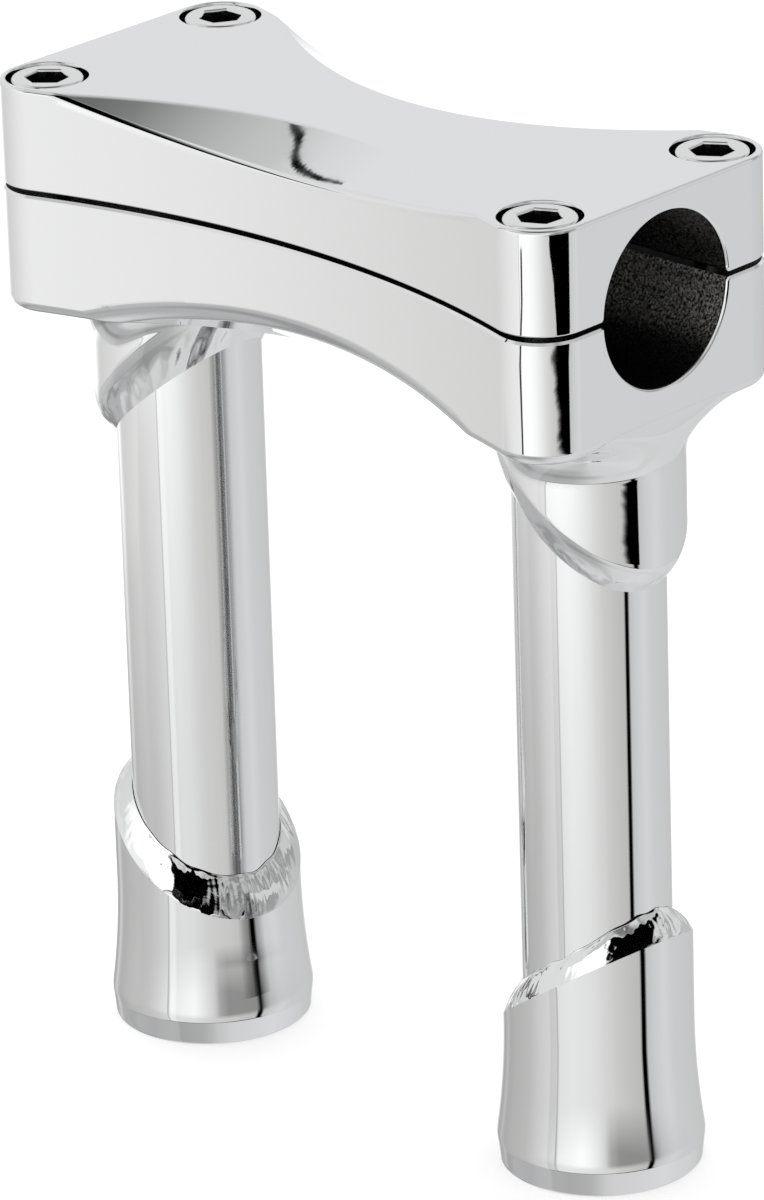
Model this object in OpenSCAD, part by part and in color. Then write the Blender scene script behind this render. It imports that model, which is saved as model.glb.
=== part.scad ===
// Handlebar riser for a motorcycle: two welded legs under a two-piece bar clamp.
// The origin is on the floor midway between the feet. X runs along the handlebar,
// Y points to the back and Z points up.

/* [Stance] */
// Distance between the two legs, centre to centre
leg_spacing = 88.9; // [80:0.1:96]
// Height of the handlebar's axis above the seat of the feet
rise = 152.4; // [120:0.1:260]

/* [Clamp] */
// Diameter of the handlebar that the clamp holds
bar_dia = 28.6; // [25.4:0.1:31.8]
// Chamfer round both mouths of the bar bore
bore_chamfer = 0.5; // [0.2:0.1:1]
// Width of the slot between the two clamp halves
split_gap = 1; // [0.4:0.1:2]
// How far each clamp screw stands outside its leg's axis, along the handlebar
screw_outset = 9.525; // [8:0.025:12]
// Distance between the clamp screws across the handlebar
screw_span_y = 40; // [38:0.1:46]
// Radius of the clamp's corners, centred on the screws
corner_radius = 7.9; // [7.5:0.1:11]
// Metal beside the bar bore at the clamp's waist
waist_wall = 5.1; // [3.8:0.1:7]
// Metal between the bar bore and the top face
crown_wall = 3.4; // [3:0.1:9]
// Metal between the bar bore and the bottom face
belly_wall = 6.7; // [6:0.1:12]

/* [Scoops] */
// Width of the flat left between the top scoops at the waist
top_land = 14; // [12:0.5:22]
// How far a top scoop lowers the edge at the waist
top_scoop_drop = 6; // [4:0.1:8]
// Radius of the cutter that makes a top scoop
top_scoop_radius = 136; // [110:1:180]
// Depth of the shallow dish across the top face
top_dish = 0.9; // [0.3:0.1:1.4]
// Flat left between that dish and the counterbores
top_dish_margin = 1.2; // [0.4:0.1:14]
// Width of the flat left between the bottom scoops at the waist
bottom_land = 15.5; // [12:0.5:22]
// How far a bottom scoop raises the edge at the waist
bottom_scoop_drop = 6.6; // [4:0.1:8]
// Radius of the cutter that makes a bottom scoop
bottom_scoop_radius = 109; // [95:1:160]

/* [Screws] */
// Diameter of a screw's unthreaded shank
screw_dia = 7.9; // [7:0.1:8.2]
// Diameter at the root of a screw's thread
thread_root_dia = 6.5; // [5.6:0.1:6.8]
// Length of thread held in the lower clamp
thread_grip = 14; // [9:0.5:15]
// Depth that the tapped hole is drilled past the screw's tip
drill_overrun = 1.5; // [0.5:0.1:3]
// Diameter of a screw head
head_dia = 11.9; // [11:0.1:12.4]
// Height of a screw head
head_height = 7.9; // [6:0.1:8.4]
// Chamfer round the top of a screw head
head_chamfer = 0.5; // [0.2:0.1:0.9]
// Width across the flats of the hexagon socket
socket_flats = 6.35; // [5:0.05:6.6]
// Depth of the hexagon socket
socket_depth = 3.9; // [3:0.1:4.8]
// Diameter of the counterbore for a screw head
counterbore_dia = 13.5; // [13:0.1:14.2]
// How far a screw head lies below the top face
head_sink = 0.1; // [0:0.1:1]
// Gap all round a shank in its clearance hole
shank_clearance = 0.25; // [0.1:0.05:0.4]
// Gap all round a thread's root in its tapped hole
thread_clearance = 0.05; // [0.02:0.01:0.1]

/* [Legs] */
// Outer diameter of a leg's tube
tube_dia = 24.6; // [22:0.1:26]
// Wall of a leg's tube
tube_wall = 3.2; // [2:0.1:5]
// Gap all round a tube in its two sockets and welds
slip_fit = 0.1; // [0.05:0.01:0.2]
// Gap above a tube's upper end
tube_end_gap = 0.3; // [0.1:0.1:0.8]
// Metal left between a tube's upper socket and the bar bore
socket_roof = 4; // [3:0.1:6]
// Wall of the necks round a tube's upper end
neck_wall = 3.3; // [2.4:0.1:4.4]
// How far the necks' slanted cut lies below the clamp, on the leg's axis
neck_drop = 12.9; // [11:0.1:18]
// Slant of the cut across a neck
neck_mitre = 40; // [30:1:42]
// Radius of the fillet between a neck and the clamp
neck_fillet = 6; // [3:0.1:7]

/* [Feet] */
// Wall of a foot's collar round the tube's lower end
collar_wall = 3.2; // [2.4:0.1:4.4]
// Height of the collar's slanted cut, on the leg's axis
collar_height = 32.5; // [30:0.1:50]
// Slant of the cut across a collar
collar_mitre = 34; // [15:1:36]
// How far the left foot's slant is turned towards the back
left_turn = 14; // [-20:1:20]
// How far the right foot's slant is turned towards the back
right_turn = -5; // [-20:1:20]
// How far a foot spreads beyond its collar where it is widest
flare_spread = 1.5; // [0.5:0.1:3]
// How far the bevel under the widest point goes back in
bevel_width = 0.4; // [0.2:0.1:2]
// Height of the bevel under a foot's widest point
bevel_height = 4.8; // [2:0.1:7]
// Height at which the collar begins to flare
flare_height = 25; // [20:0.1:28]
// Thickness of a foot's tapped floor
floor_height = 16; // [12:0.1:18]
// Diameter of the tapped hole under a foot, at its thread's root
stud_hole_dia = 10.8; // [8:0.1:12]
// Chamfer at the mouth of that hole
stud_hole_chamfer = 1; // [0.5:0.1:1.5]

/* [Welds] */
// Height of a weld up or down the tube, at a foot
foot_weld_height = 4.5; // [3:0.1:6]
// Height of a weld up or down the tube, at a neck
neck_weld_height = 5.5; // [3:0.1:7]
// How far a weld's face swells past a straight one
weld_crown = 0.3; // [0.1:0.1:0.6]

/* [Hidden] */
$fn = 96;
// Facets of the wide cutters
wide_fn = 360;
// How far a cutter runs past the metal
over = 1;
// Reach of a cutter that takes away all on one side
far = 4 * rise;

leg_x = leg_spacing / 2;
screw_x = leg_x + screw_outset;
screw_y = screw_span_y / 2;
bar_radius = bar_dia / 2;
crown_height = bar_radius + crown_wall;
belly_depth = bar_radius + belly_wall;
waist_half = bar_radius + waist_wall;
clamp_half_length = screw_x + corner_radius;
clamp_half_width = screw_y + corner_radius;
// The waist's arc touches the two corner circles on its side.
waist_inset = screw_y - waist_half;
waist_radius = (screw_x ^ 2 + waist_inset ^ 2 - corner_radius ^ 2)
    / (2 * (corner_radius + waist_inset));
top_z = rise + crown_height;
bottom_z = rise - belly_depth;
upper_face_z = rise + split_gap / 2;
lower_face_z = rise - split_gap / 2;

head_seat_z = top_z - head_sink - head_height;
thread_tip_z = lower_face_z - thread_grip;

tube_radius = tube_dia / 2;
socket_radius = tube_radius + slip_fit;
socket_top_z = rise - bar_radius - socket_roof;
neck_radius = socket_radius + neck_wall;
neck_z = bottom_z - neck_drop;
collar_radius = socket_radius + collar_wall;
foot_radius = collar_radius + flare_spread;
seat_radius = foot_radius - bevel_width;
// The flare is one hollow arc, upright where it leaves the collar.
flare_rise = flare_height - bevel_height;
flare_radius = (flare_rise ^ 2 + flare_spread ^ 2) / (2 * flare_spread);

// The clamp seen from above: round corners about the screws and a hollow waist.
module clamp_outline() {
    difference() {
        union() {
            square([2 * clamp_half_length, screw_span_y], center = true);
            square([2 * screw_x, 2 * clamp_half_width], center = true);
            for (x = [-1, 1], y = [-1, 1])
                translate([x * screw_x, y * screw_y]) circle(r = corner_radius);
        }
        for (y = [-1, 1])
            translate([0, y * (waist_half + waist_radius)])
                circle(r = waist_radius, $fn = wide_fn);
    }
}

module clamp_slab(from_z, to_z) {
    translate([0, 0, from_z]) linear_extrude(to_z - from_z) clamp_outline();
}

// A wide round cutter that leans outwards, so that it takes the most at the waist.
module edge_scoop(land, drop, radius, height) {
    lean = atan(drop / (waist_half - land / 2));
    translate([0, -land / 2, height]) rotate([lean, 0, 0])
        translate([0, 0, radius]) rotate([90, 0, 0])
            cylinder(r = radius, h = 4 * clamp_half_width, center = true, $fn = wide_fn);
}

module scoops_both_sides(land, drop, radius, height) {
    edge_scoop(land, drop, radius, height);
    mirror([0, 1, 0]) edge_scoop(land, drop, radius, height);
}

// A very wide cutter across the bar, which dips the middle of the top face.
module top_dish_cut() {
    half_length = screw_x - counterbore_dia / 2 - top_dish_margin;
    radius = (half_length ^ 2 + top_dish ^ 2) / (2 * top_dish);
    translate([0, 0, top_z - top_dish + radius]) rotate([90, 0, 0])
        cylinder(r = radius, h = 4 * clamp_half_width, center = true, $fn = 2 * wide_fn);
}

module bar_bore() {
    length = 2 * (clamp_half_length + over);
    translate([0, 0, rise]) rotate([0, 90, 0]) {
        cylinder(r = bar_radius, h = length, center = true);
        for (end = [0, 1])
            mirror([0, 0, end]) translate([0, 0, clamp_half_length - bore_chamfer])
                cylinder(r1 = bar_radius, r2 = bar_radius + bore_chamfer + over,
                    h = bore_chamfer + over);
    }
}

module at_each_screw() {
    for (x = [-1, 1], y = [-1, 1])
        translate([x * screw_x, y * screw_y, 0]) children();
}

module upper_clamp() {
    color("silver") difference() {
        clamp_slab(upper_face_z, top_z);
        scoops_both_sides(top_land, top_scoop_drop, top_scoop_radius, top_z);
        top_dish_cut();
        bar_bore();
        at_each_screw() {
            translate([0, 0, rise])
                cylinder(r = screw_dia / 2 + shank_clearance, h = crown_height);
            translate([0, 0, head_seat_z])
                cylinder(d = counterbore_dia, h = head_height + head_sink + over);
        }
    }
}

// One neck with its fillet, kept inside the clamp's outline and cut on the slant.
module neck() {
    difference() {
        intersection() {
            translate([leg_x, 0, 0]) union() {
                cylinder(r = neck_radius, h = bottom_z + over);
                translate([0, 0, bottom_z - neck_fillet]) rotate_extrude()
                    difference() {
                        square([neck_radius + neck_fillet, neck_fillet + over]);
                        translate([neck_radius + neck_fillet, 0])
                            circle(r = neck_fillet);
                    }
            }
            clamp_slab(0, bottom_z + over);
        }
        translate([leg_x, 0, neck_z]) rotate([0, neck_mitre, 0])
            translate([-far / 2, -far / 2, -far]) cube(far);
    }
}

module lower_clamp() {
    color("silver") difference() {
        union() {
            difference() {
                clamp_slab(bottom_z, lower_face_z);
                translate([0, 0, rise]) mirror([0, 0, 1])
                    scoops_both_sides(bottom_land, bottom_scoop_drop,
                        bottom_scoop_radius, belly_depth);
            }
            neck();
            mirror([1, 0, 0]) neck();
        }
        bar_bore();
        at_each_screw() translate([0, 0, thread_tip_z - drill_overrun])
            cylinder(r = thread_root_dia / 2 + thread_clearance,
                h = thread_grip + drill_overrun + over);
        for (side = [0, 1])
            mirror([side, 0, 0]) translate([leg_x, 0, 0])
                cylinder(r = socket_radius, h = socket_top_z);
    }
}

// Hexagon socket screw: chamfered head, plain shank and the core of its thread.
module clamp_screw() {
    head_top_z = head_seat_z + head_height;
    head_radius = head_dia / 2;
    tip_chamfer = (screw_dia - thread_root_dia) / 2;
    difference() {
        union() {
            translate([0, 0, head_seat_z])
                cylinder(r = head_radius, h = head_height - head_chamfer);
            translate([0, 0, head_top_z - head_chamfer])
                cylinder(r1 = head_radius, r2 = head_radius - head_chamfer,
                    h = head_chamfer);
            translate([0, 0, upper_face_z])
                cylinder(d = screw_dia, h = head_seat_z - upper_face_z);
            translate([0, 0, thread_tip_z + tip_chamfer])
                cylinder(d = thread_root_dia, h = upper_face_z - thread_tip_z - tip_chamfer);
            translate([0, 0, thread_tip_z])
                cylinder(d1 = thread_root_dia - 2 * tip_chamfer, d2 = thread_root_dia,
                    h = tip_chamfer);
        }
        translate([0, 0, head_top_z - socket_depth])
            cylinder(d = socket_flats / cos(30), h = socket_depth + over, $fn = 6);
    }
}

module clamp_screws() {
    color("gainsboro") at_each_screw() clamp_screw();
}

// The pieces of a leg are drawn for the right leg, and mirrored for the left one.
module leg_tube() {
    color("silver") translate([leg_x, 0, floor_height]) difference() {
        length = socket_top_z - tube_end_gap - floor_height;
        cylinder(r = tube_radius, h = length);
        translate([0, 0, -over])
            cylinder(r = tube_radius - tube_wall, h = length + 2 * over);
    }
}

// Half of a foot's section: a bevel, a hollow flare and an upright collar.
module foot_section() {
    top = 2 * collar_height;
    difference() {
        polygon([
            [0, 0], [seat_radius, 0], [foot_radius, bevel_height],
            [foot_radius, flare_height], [collar_radius, flare_height],
            [collar_radius, top], [0, top]
        ]);
        translate([collar_radius + flare_radius, flare_height])
            circle(r = flare_radius, $fn = wide_fn);
    }
}

module leg_foot(turn) {
    color("silver") translate([leg_x, 0, 0]) rotate([0, 0, turn]) difference() {
        rotate_extrude() foot_section();
        translate([0, 0, floor_height]) cylinder(r = socket_radius, h = 2 * collar_height);
        translate([0, 0, -over]) cylinder(d = stud_hole_dia, h = floor_height + 2 * over);
        translate([0, 0, -over])
            cylinder(d1 = stud_hole_dia + 2 * (stud_hole_chamfer + over),
                d2 = stud_hole_dia, h = stud_hole_chamfer + over);
        translate([0, 0, collar_height]) rotate([0, -collar_mitre, 0])
            translate([-far / 2, -far / 2, 0]) cube(far);
    }
}

// A fillet round the tube, from the edge of a ring to a height on the tube.
module bead_section(ring_radius, height) {
    width = ring_radius - socket_radius;
    chord = sqrt(width ^ 2 + height ^ 2);
    face_radius = (chord ^ 2 / 4 + weld_crown ^ 2) / (2 * weld_crown);
    inset = face_radius - weld_crown;
    intersection() {
        translate([socket_radius, 0]) square([2 * width, 2 * height]);
        translate([socket_radius + width / 2 - inset * height / chord,
            height / 2 - inset * width / chord])
            circle(r = face_radius);
    }
}

// The same fillet, slanted so that it follows a mitred edge all the way round.
module slanted_bead(ring_radius, height, slope) {
    for (quarter = [0:90:270])
        multmatrix([[1, 0, 0, 0], [0, 1, 0, 0], [slope, 0, 1, 0], [0, 0, 0, 1]])
            rotate([0, 0, quarter]) rotate_extrude(angle = 90)
                bead_section(ring_radius, height);
}

module foot_weld(turn) {
    color("gainsboro") translate([leg_x, 0, collar_height]) rotate([0, 0, turn])
        slanted_bead(collar_radius, foot_weld_height, tan(collar_mitre));
}

module neck_weld() {
    color("gainsboro") translate([leg_x, 0, neck_z]) mirror([0, 0, 1])
        slanted_bead(neck_radius, neck_weld_height, tan(neck_mitre));
}

module left_side() {
    mirror([1, 0, 0]) children();
}

upper_clamp();
lower_clamp();
clamp_screws();
left_side() leg_tube();  // left_tube
leg_tube();  // right_tube
left_side() leg_foot(left_turn);  // left_foot
leg_foot(right_turn);  // right_foot
left_side() neck_weld();  // left_neck_weld
neck_weld();  // right_neck_weld
left_side() foot_weld(left_turn);  // left_foot_weld
foot_weld(right_turn);  // right_foot_weld
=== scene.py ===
"""Dressed scene of a chromed handlebar riser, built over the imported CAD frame.

X runs along the handlebar, Y to the back and Z up, with the origin on the floor
midway between the feet. Shapes are worked out in millimetres, on numpy grids,
and put into meshes in metres.
"""

import logging
import math
from dataclasses import dataclass, field
from enum import Enum
from typing import Callable, Sequence

import bmesh
import bpy
import numpy as np
from mathutils import Matrix, Vector

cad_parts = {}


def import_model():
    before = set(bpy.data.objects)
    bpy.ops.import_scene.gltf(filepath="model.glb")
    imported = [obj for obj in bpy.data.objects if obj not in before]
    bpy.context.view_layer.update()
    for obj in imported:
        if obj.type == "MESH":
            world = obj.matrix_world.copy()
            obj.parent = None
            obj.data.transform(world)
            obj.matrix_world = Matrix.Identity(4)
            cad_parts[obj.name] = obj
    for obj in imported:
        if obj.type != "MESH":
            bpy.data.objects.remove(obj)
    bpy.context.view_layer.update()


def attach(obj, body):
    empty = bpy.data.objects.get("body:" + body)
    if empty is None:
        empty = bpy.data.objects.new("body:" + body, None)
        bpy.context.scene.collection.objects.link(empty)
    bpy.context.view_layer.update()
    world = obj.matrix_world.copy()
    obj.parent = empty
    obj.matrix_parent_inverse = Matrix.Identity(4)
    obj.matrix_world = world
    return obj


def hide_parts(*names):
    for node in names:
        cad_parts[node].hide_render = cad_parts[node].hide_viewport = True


LOG = logging.getLogger("riser")
METRES_PER_MM = 0.001
IMAGE_WIDTH, IMAGE_HEIGHT = 764, 1200

Array = np.ndarray
Surface = Callable[[Array], Array]
Stops = Sequence[tuple[float, float, float]]


class Side(Enum):
    """Which leg a piece belongs to, as the sign of its place along the bar."""

    LEFT = -1
    RIGHT = 1


class Half(Enum):
    """Which clamp half, as the sign of its outward direction along Z."""

    UPPER = 1
    LOWER = -1


def rounded_max(a: Array, b: Array, radius: Array | float) -> Array:
    """Joins two distance fields as an intersection with a rounded edge.

    Formula: the smaller of the larger field and minus the radius, plus the
    length of the vector of both fields raised by the radius and cut off at 0.

    Args:
        a: The first signed distance, negative inside.
        b: The second signed distance.
        radius: The radius of the rounding.

    Returns:
        The signed distance of the intersection.
    """
    reach = np.hypot(np.maximum(a + radius, 0.0), np.maximum(b + radius, 0.0))
    return np.minimum(np.maximum(a, b), -radius) + reach


def rounded_min(a: Array, b: Array, radius: Array | float) -> Array:
    """Joins two distance fields as a union with a fillet, the mirror of rounded_max.

    Args:
        a: The first signed distance, negative inside.
        b: The second signed distance.
        radius: The radius of the fillet.

    Returns:
        The signed distance of the union.
    """
    return -rounded_max(-a, -b, radius)


def smooth_step(value: Array, low: float, high: float) -> Array:
    """Returns 3t^2 - 2t^3, where t runs from 0 at low to 1 at high."""
    t = np.clip((value - low) / (high - low), 0.0, 1.0)
    return t * t * (3.0 - 2.0 * t)


def gradient(surface: Surface, points: Array, step: float = 0.01) -> Array:
    """Finds a field's slope by central differences along each axis.

    Args:
        surface: The signed distance field, in mm.
        points: Places, with x, y and z on the last axis.
        step: Half of the distance between the two probes.

    Returns:
        The slope at each place, one vector each.
    """
    shifts = np.eye(3) * step
    parts = [surface(points + s) - surface(points - s) for s in shifts]
    return np.stack(parts, axis=-1) / (2.0 * step)


def unit(vectors: Array) -> Array:
    """Returns the vectors scaled to length 1."""
    length = np.linalg.norm(vectors, axis=-1, keepdims=True)
    return vectors / np.maximum(length, 1e-9)


def settle(surface: Surface, points: Array, rounds: int = 8) -> Array:
    """Moves points onto a field's zero surface, by Newton steps along its slope.

    Args:
        surface: The signed distance field.
        points: Places near the surface.
        rounds: How many steps are taken.

    Returns:
        The places on the surface.
    """
    for _ in range(rounds):
        slope = gradient(surface, points)
        length = np.sum(slope * slope, axis=-1, keepdims=True)
        move = surface(points)[..., None] * slope / np.maximum(length, 0.05)
        points = points - np.clip(move, -1.5, 1.5)
    return points


def cast_out(surface: Surface, origin: Array, direction: Array, reach: float) -> Array:
    """Finds where rays from inside a solid leave it, by halving the interval.

    Args:
        surface: The signed distance field.
        origin: Places inside the solid.
        direction: The rays' directions.
        reach: A distance at which every ray has left the solid.

    Returns:
        The places where the rays leave.
    """
    near = np.zeros(origin.shape[:-1])
    far = np.full(origin.shape[:-1], reach)
    for _ in range(36):
        middle = (near + far) / 2.0
        inside = surface(origin + middle[..., None] * direction) < 0.0
        near = np.where(inside, middle, near)
        far = np.where(inside, far, middle)
    return origin + ((near + far) / 2.0)[..., None] * direction


def ring_faces(rows: int, columns: int, flip: bool = False, start: int = 0) -> Array:
    """Lists the quads of a grid whose columns close into a ring.

    Args:
        rows: Number of rows of points.
        columns: Number of points round the ring.
        flip: Turns the faces over.
        start: Index of the grid's first point.

    Returns:
        One row of four point indices for each quad.
    """
    row, column = np.meshgrid(np.arange(rows - 1), np.arange(columns), indexing="ij")
    after = (column + 1) % columns
    quads = np.stack(
        [row * columns + column, row * columns + after,
         (row + 1) * columns + after, (row + 1) * columns + column], axis=-1)
    quads = quads.reshape(-1, 4) + start
    return quads[:, ::-1] if flip else quads


def make_mesh(name: str, points: Array, quads: Array, merge: float = 1e-4) -> bpy.types.Mesh:
    """Puts a grid into a mesh, and merges the points of its poles and seams.

    Args:
        name: The mesh's name.
        points: Places in mm, one row each.
        quads: Four point indices for each face.
        merge: Distance in mm under which points are merged.

    Returns:
        The mesh, in metres, with its normals pointing outwards.
    """
    mesh = bpy.data.meshes.new(name)
    mesh.from_pydata((points * METRES_PER_MM).tolist(), [], quads.tolist())
    work = bmesh.new()
    work.from_mesh(mesh)
    bmesh.ops.remove_doubles(work, verts=work.verts, dist=merge * METRES_PER_MM)
    bmesh.ops.dissolve_degenerate(work, edges=work.edges, dist=merge * METRES_PER_MM)
    bmesh.ops.recalc_face_normals(work, faces=work.faces)
    if work.calc_volume(signed=True) < 0.0:
        bmesh.ops.reverse_faces(work, faces=work.faces)
    work.to_mesh(mesh)
    work.free()
    return mesh


def make_object(name: str, mesh: bpy.types.Mesh) -> bpy.types.Object:
    """Links a new object for a mesh into the scene and returns it."""
    made = bpy.data.objects.new(name, mesh)
    bpy.context.scene.collection.objects.link(made)
    return made


def corner_places(mesh: bpy.types.Mesh) -> tuple[Array, Array, Array]:
    """Reads a mesh for work on its face corners.

    Args:
        mesh: The mesh to read.

    Returns:
        The place in mm of each face corner's point, the index of the face that
        each corner belongs to, and the centre of each face in mm.
    """
    points = np.empty(len(mesh.vertices) * 3)
    mesh.vertices.foreach_get("co", points)
    owners = np.empty(len(mesh.loops), np.int64)
    mesh.loops.foreach_get("vertex_index", owners)
    totals = np.empty(len(mesh.polygons), np.int64)
    mesh.polygons.foreach_get("loop_total", totals)
    centres = np.empty(len(mesh.polygons) * 3)
    mesh.polygons.foreach_get("center", centres)
    faces = np.repeat(np.arange(len(mesh.polygons)), totals)
    places = points.reshape(-1, 3)[owners] / METRES_PER_MM
    return places, faces, centres.reshape(-1, 3) / METRES_PER_MM


def shade_smooth(mesh: bpy.types.Mesh, angle: float = 32.0) -> None:
    """Shades a mesh smooth, with sharp edges where faces meet at a wider angle."""
    mesh.shade_smooth()
    mesh.set_sharp_from_angle(angle=math.radians(angle))


def cut_away(target: bpy.types.Object, cutter: bpy.types.Object) -> None:
    """Subtracts a cutter from an object and deletes the cutter.

    Args:
        target: The object that keeps its name and gets the result's mesh.
        cutter: The closed object that is taken away.
    """
    modifier = target.modifiers.new("cut", "BOOLEAN")
    modifier.operation = "DIFFERENCE"
    modifier.solver = "EXACT"
    modifier.object = cutter
    graph = bpy.context.evaluated_depsgraph_get()
    result = bpy.data.meshes.new_from_object(target.evaluated_get(graph))
    old = target.data
    target.modifiers.clear()
    target.data = result
    bpy.data.meshes.remove(old)
    bpy.data.objects.remove(cutter)


def revolve(profile: Array, columns: int, centre: tuple[float, float] = (0.0, 0.0),
            turn: float = 0.0) -> Array:
    """Carries a profile round an upright axis.

    Formula: x is the radius times the cosine of the angle, y the radius times
    its sine, and z the profile's height.

    Args:
        profile: Rows of radius and height, in mm.
        columns: Points round the axis.
        centre: The axis's place in x and y.
        turn: Angle of the first column, in radians.

    Returns:
        The grid's points, row after row.
    """
    angle = turn + np.arange(columns) * (2.0 * math.pi / columns)
    radius, height = profile[:, :1], profile[:, 1:]
    x = centre[0] + radius * np.cos(angle)
    y = centre[1] + radius * np.sin(angle)
    return np.stack([x, y, np.broadcast_to(height, x.shape)], axis=-1).reshape(-1, 3)


def arc(centre: tuple[float, float], radius: float, start: float, end: float,
        count: int) -> Array:
    """Returns points of an arc in a plane, with its angles in degrees."""
    angle = np.radians(np.linspace(start, end, count))
    return np.stack([centre[0] + radius * np.cos(angle),
                     centre[1] + radius * np.sin(angle)], axis=-1)


@dataclass(frozen=True)
class Chrome:
    """A plated finish: mirror metal with a faint waviness and fine haze.

    Attributes:
        name: The material's name.
        slot: The record's material slot; not used.
        tint: The metal's colour.
        roughness: Lowest and highest roughness, which haze mixes.
        wave_depth: Depth of the slow waviness, in mm.
        wave_size: Width of one wave, in mm.
        peel_depth: Depth of the fine ripple of the plating, in mm.
    """

    name: str
    slot: str
    tint: tuple[float, float, float]
    roughness: tuple[float, float]
    wave_depth: float
    wave_size: float
    peel_depth: float

    def make(self) -> bpy.types.Material:
        """Builds the material's nodes and returns the material."""
        board = NodeBoard.for_material(self.name)
        shader = board.add("ShaderNodeBsdfPrincipled")
        shader.inputs["Base Color"].default_value = (*self.tint, 1.0)
        shader.inputs["Metallic"].default_value = 1.0
        place = board.add("ShaderNodeTexCoord").outputs["Object"]
        haze = board.noise(place, 0.006, 2.0)
        spread = board.add("ShaderNodeMapRange")
        board.link(haze, spread.inputs["Value"])
        spread.inputs["From Min"].default_value = 0.35
        spread.inputs["From Max"].default_value = 0.75
        spread.inputs["To Min"].default_value = self.roughness[0]
        spread.inputs["To Max"].default_value = self.roughness[1]
        board.link(spread.outputs["Result"], shader.inputs["Roughness"])
        slow = board.noise(place, self.wave_size * METRES_PER_MM, 1.0)
        fine = board.noise(place, 0.0011, 2.0)
        first = board.bump(slow, self.wave_depth)
        second = board.bump(fine, self.peel_depth, first)
        board.link(second, shader.inputs["Normal"])
        board.link(shader.outputs["BSDF"], board.output.inputs["Surface"])
        return board.material


@dataclass(frozen=True)
class CastBore:
    """The bore's finish: thin dark plating over a rough casting, with painted shade and a
    painted highlight set by height.

    Attributes:
        name: The material's name.
        dark: Colour in the grain's pits.
        light: Colour on the grain's tops.
        grain: Width of one grain, in mm.
        depth: Height of the grain, in mm.
        painted_light_bands: Height in mm and how much of its colour the metal keeps there,
            as painted shade below 1 and painted highlight above 1.
    """

    name: str
    dark: tuple[float, float, float]
    light: tuple[float, float, float]
    grain: float
    depth: float
    painted_light_bands: Sequence[tuple[float, float]] = ((0.0, 1.0), (200.0, 1.0))

    def make(self) -> bpy.types.Material:
        """Builds the material's nodes and returns the material."""
        board = NodeBoard.for_material(self.name)
        shader = board.add("ShaderNodeBsdfPrincipled")
        shader.inputs["Metallic"].default_value = 0.85
        place = board.add("ShaderNodeTexCoord").outputs["Object"]
        grain = board.noise(place, self.grain * METRES_PER_MM, 3.0)
        blot = board.noise(place, 0.009, 2.0)
        tone = board.mix(grain, self.dark, self.light, 0.38, 0.68)
        # Painted shade and painted highlight by height multiply the grain's colour.
        board.link(board.scaled(tone, self.painted_light_by_height(board, place)),
                   shader.inputs["Base Color"])
        spread = board.add("ShaderNodeMapRange")
        board.link(blot, spread.inputs["Value"])
        spread.inputs["To Min"].default_value = 0.28
        spread.inputs["To Max"].default_value = 0.6
        board.link(spread.outputs["Result"], shader.inputs["Roughness"])
        board.link(board.bump(grain, self.depth), shader.inputs["Normal"])
        board.link(shader.outputs["BSDF"], board.output.inputs["Surface"])
        return board.material


    def painted_light_by_height(self, board: "NodeBoard",
             place: bpy.types.NodeSocket) -> bpy.types.NodeSocket:
        """Adds painted shade and painted highlight by height: how much of its colour the
        metal keeps at each height.
        """
        split = board.add("ShaderNodeSeparateXYZ")
        board.link(place, split.inputs["Vector"])
        share = board.math("DIVIDE", split.outputs["Z"], 0.2)
        node = board.add("ShaderNodeValToRGB")
        ends = node.color_ramp.elements
        for index, (height, keep) in enumerate(self.painted_light_bands):
            first, last = index == 0, index == len(self.painted_light_bands) - 1
            stop = ends[0] if first else ends[len(ends) - 1] if last else (
                ends.new(height / 200.0))
            stop.position = height / 200.0
            stop.color = (keep, keep, keep, 1.0)
        board.link(share, node.inputs["Fac"])
        return node.outputs["Color"]


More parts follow.
